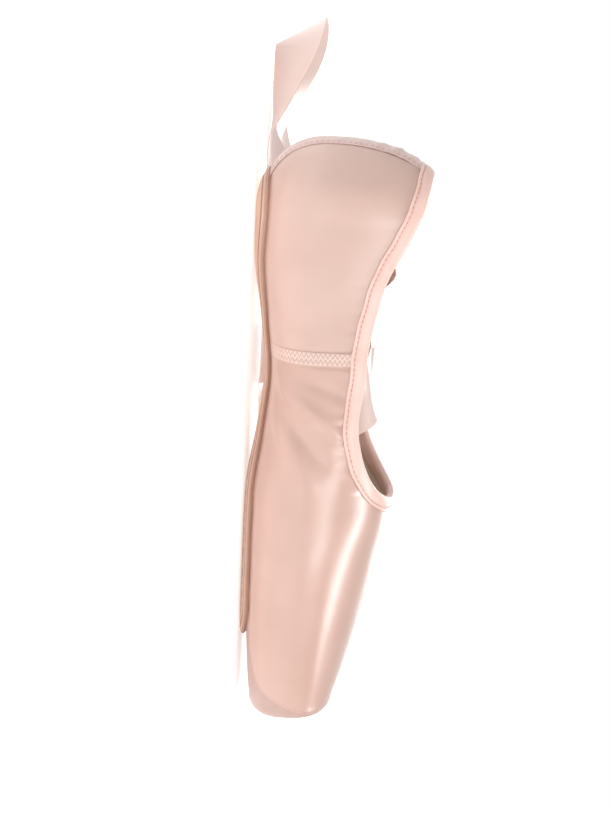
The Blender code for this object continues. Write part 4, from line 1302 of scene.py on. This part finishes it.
# %% Cut the insole
def insole_reach(walk):
    side = INSOLE_SHARE * (rib(max(walk, FAN_AXIS)).half - QUARTER_WALL)
    if walk < FAN_AXIS:
        return heel_reach(fan_turn(walk), side, INSOLE_SHARE * (FAN_AXIS - QUARTER_WALL))
    return side * quarter_round((INSOLE_TOE - walk) / SOLE_ROUND, 3.0)


INSOLE_TOE = EDGE_START - INSOLE_TOE_CLEARANCE
INSOLE_DEPTH = 3.0 * MM


def insole_depth(walk, reach, share):
    """Its upper face, with a rounded edge and faint dents from the foot."""
    rounded = 0.0004 * (1 - smooth(reach * (1 - abs(share)) / 0.0012))
    dent = 0.0002 * math.sin(reach * share / 0.006 + walk / 0.011) * math.sin(walk / 0.017)
    return INSOLE_DEPTH - rounded + dent


insole, rows = sole_sheet("insole_cotton", INSOLE_TOE, 2.5 * MM, insole_reach, insole_depth)
reaches = [insole_reach(walk) for walk in sole_rows(INSOLE_TOE, SOLE_ROUND, 2.5 * MM)]
carry(insole, "edge_mm", [[reach * (1 - abs(share)) * 1000 for share in SOLE_SHARES] for reach in reaches])
close_sole(insole, 1)

# %% The insole's cover
# Cotton over board: matt and cream, with its weave drawn coarse and a sewn line near its edge
board, tree, shader = new_material("cotton covered board", 0.8, IOR=1.45, Sheen_Weight=0.2)
edge = add_node(tree, "Attribute", attribute_name="edge_mm").outputs["Fac"]
colour = dyed(tree, 16, "#f3e7db", "#e9d8c8")
colour = laid_over(tree, colour, line_at(tree, edge, 2.2, 0.16, 0.2), 0.5, linear("#bfa28f"))
feed(shader, {"Base Color": colour, "Normal": floats(tree, 0.55, 0.8, 0.05)})
dress(insole, board)
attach(insole, "root")
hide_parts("insole")

# %% [markdown]
# ## The ribbons' satin
#
# Ribbon satin is the brightest cloth here: single-faced, with a fine selvedge along both edges.

# %% Ribbon satin
# Ribbon satin: the smoothest cloth of the shoe, so its highlights are the sharpest. Its threads are
# drawn as coarse as the upper's, and the selvedge is the last 0.9 mm of its width.
ribbon_satin, tree, shader = new_material("ribbon satin", 0.28, IOR=1.5, Anisotropic=0.45, Sheen_Weight=0.12)
across = add_node(tree, "Attribute", attribute_name="across_mm").outputs["Fac"]
across = add_node(tree, "Math", {0: across}, operation="ABSOLUTE")
selvedge = rises(tree, across, 11.6, 0.3)
colour = dyed(tree, 18, "#e0cac3", "#d6bbb1")
colour = laid_over(tree, colour, selvedge, 0.5, linear("#e6c3b8"))
weave = floats(tree, 0.7, 14.0, 0.01)
normal = add_node(tree, "Bump", {"Height": selvedge, "Distance": 0.06 * MM, "Normal": weave})
tangent = add_node(tree, "Tangent", direction_type="UV_MAP", uv_map="cloth")
rough = blotches(tree, 9, 0.285, 0.35)
feed(shader, {"Base Color": colour, "Roughness": rough, "Normal": normal, "Tangent": tangent})
for piece, _ in ribbons.values():
    dress(piece, ribbon_satin)

# %% [markdown]
# ## Floor and light
#
# A wide white floor runs away into a sky that is white at the horizon and greyer higher up, so no horizon
# shows and the folds still get some shade. The floor glows a little, as a light table does. A long narrow
# lamp overhead, ahead of the shoe, makes the long highlight on the box. Two soft ones, far out on either
# side, model the folds and the far side.

# %% Studio
bpy.ops.object.select_all(action="DESELECT")
bpy.ops.mesh.primitive_plane_add(size=8, location=(0, 0, -0.00015))
floor = bpy.context.object
floor.name = "floor"
paper, tree, shader = new_material("opal acrylic", 0.9, Emission_Strength=0.47)
feed(shader, {"Base Color": linear("#fafafa"), "Emission Color": linear("#ffffff")})
floor.data.materials.append(paper)


def soft_lamp(name, place, aim, size, size_y, watts):
    bpy.ops.object.light_add(type="AREA", location=place)
    lamp = bpy.context.object
    lamp.name = name
    lamp.data.shape = "RECTANGLE"
    lamp.data.size = size
    lamp.data.size_y = size_y
    lamp.data.energy = watts
    lamp.rotation_euler = (Vector(place) - Vector(aim)).to_track_quat("Z", "Y").to_euler()
    return lamp


soft_lamp("key", (0.26, 0.46, 1.08), (0, 0.02, 0.03), 0.16, 0.85, 7.6)
soft_lamp("side", (1.25, 0.3, 0.62), (0, 0, 0.03), 0.45, 0.45, 3.8)
soft_lamp("far_side", (-1.2, 0.3, 0.75), (0, 0, 0.03), 0.5, 0.5, 7.0)
world = bpy.data.worlds.new("studio")
bpy.context.scene.world = world
world.use_nodes = True
background = world.node_tree.nodes["Background"]
direction = add_node(world.node_tree, "TexCoord").outputs["Generated"]
height = add_node(world.node_tree, "SeparateXYZ", {"Vector": direction}).outputs["Z"]
upward = {"Value": height, "From Min": 0.12, "From Max": 0.5, "To Min": 1.0, "To Max": 0.48}
sky = add_node(world.node_tree, "MapRange", upward)
feed(background, {"Color": (1, 1, 1, 1), "Strength": sky})
bpy.context.scene.view_settings.view_transform = "Standard"
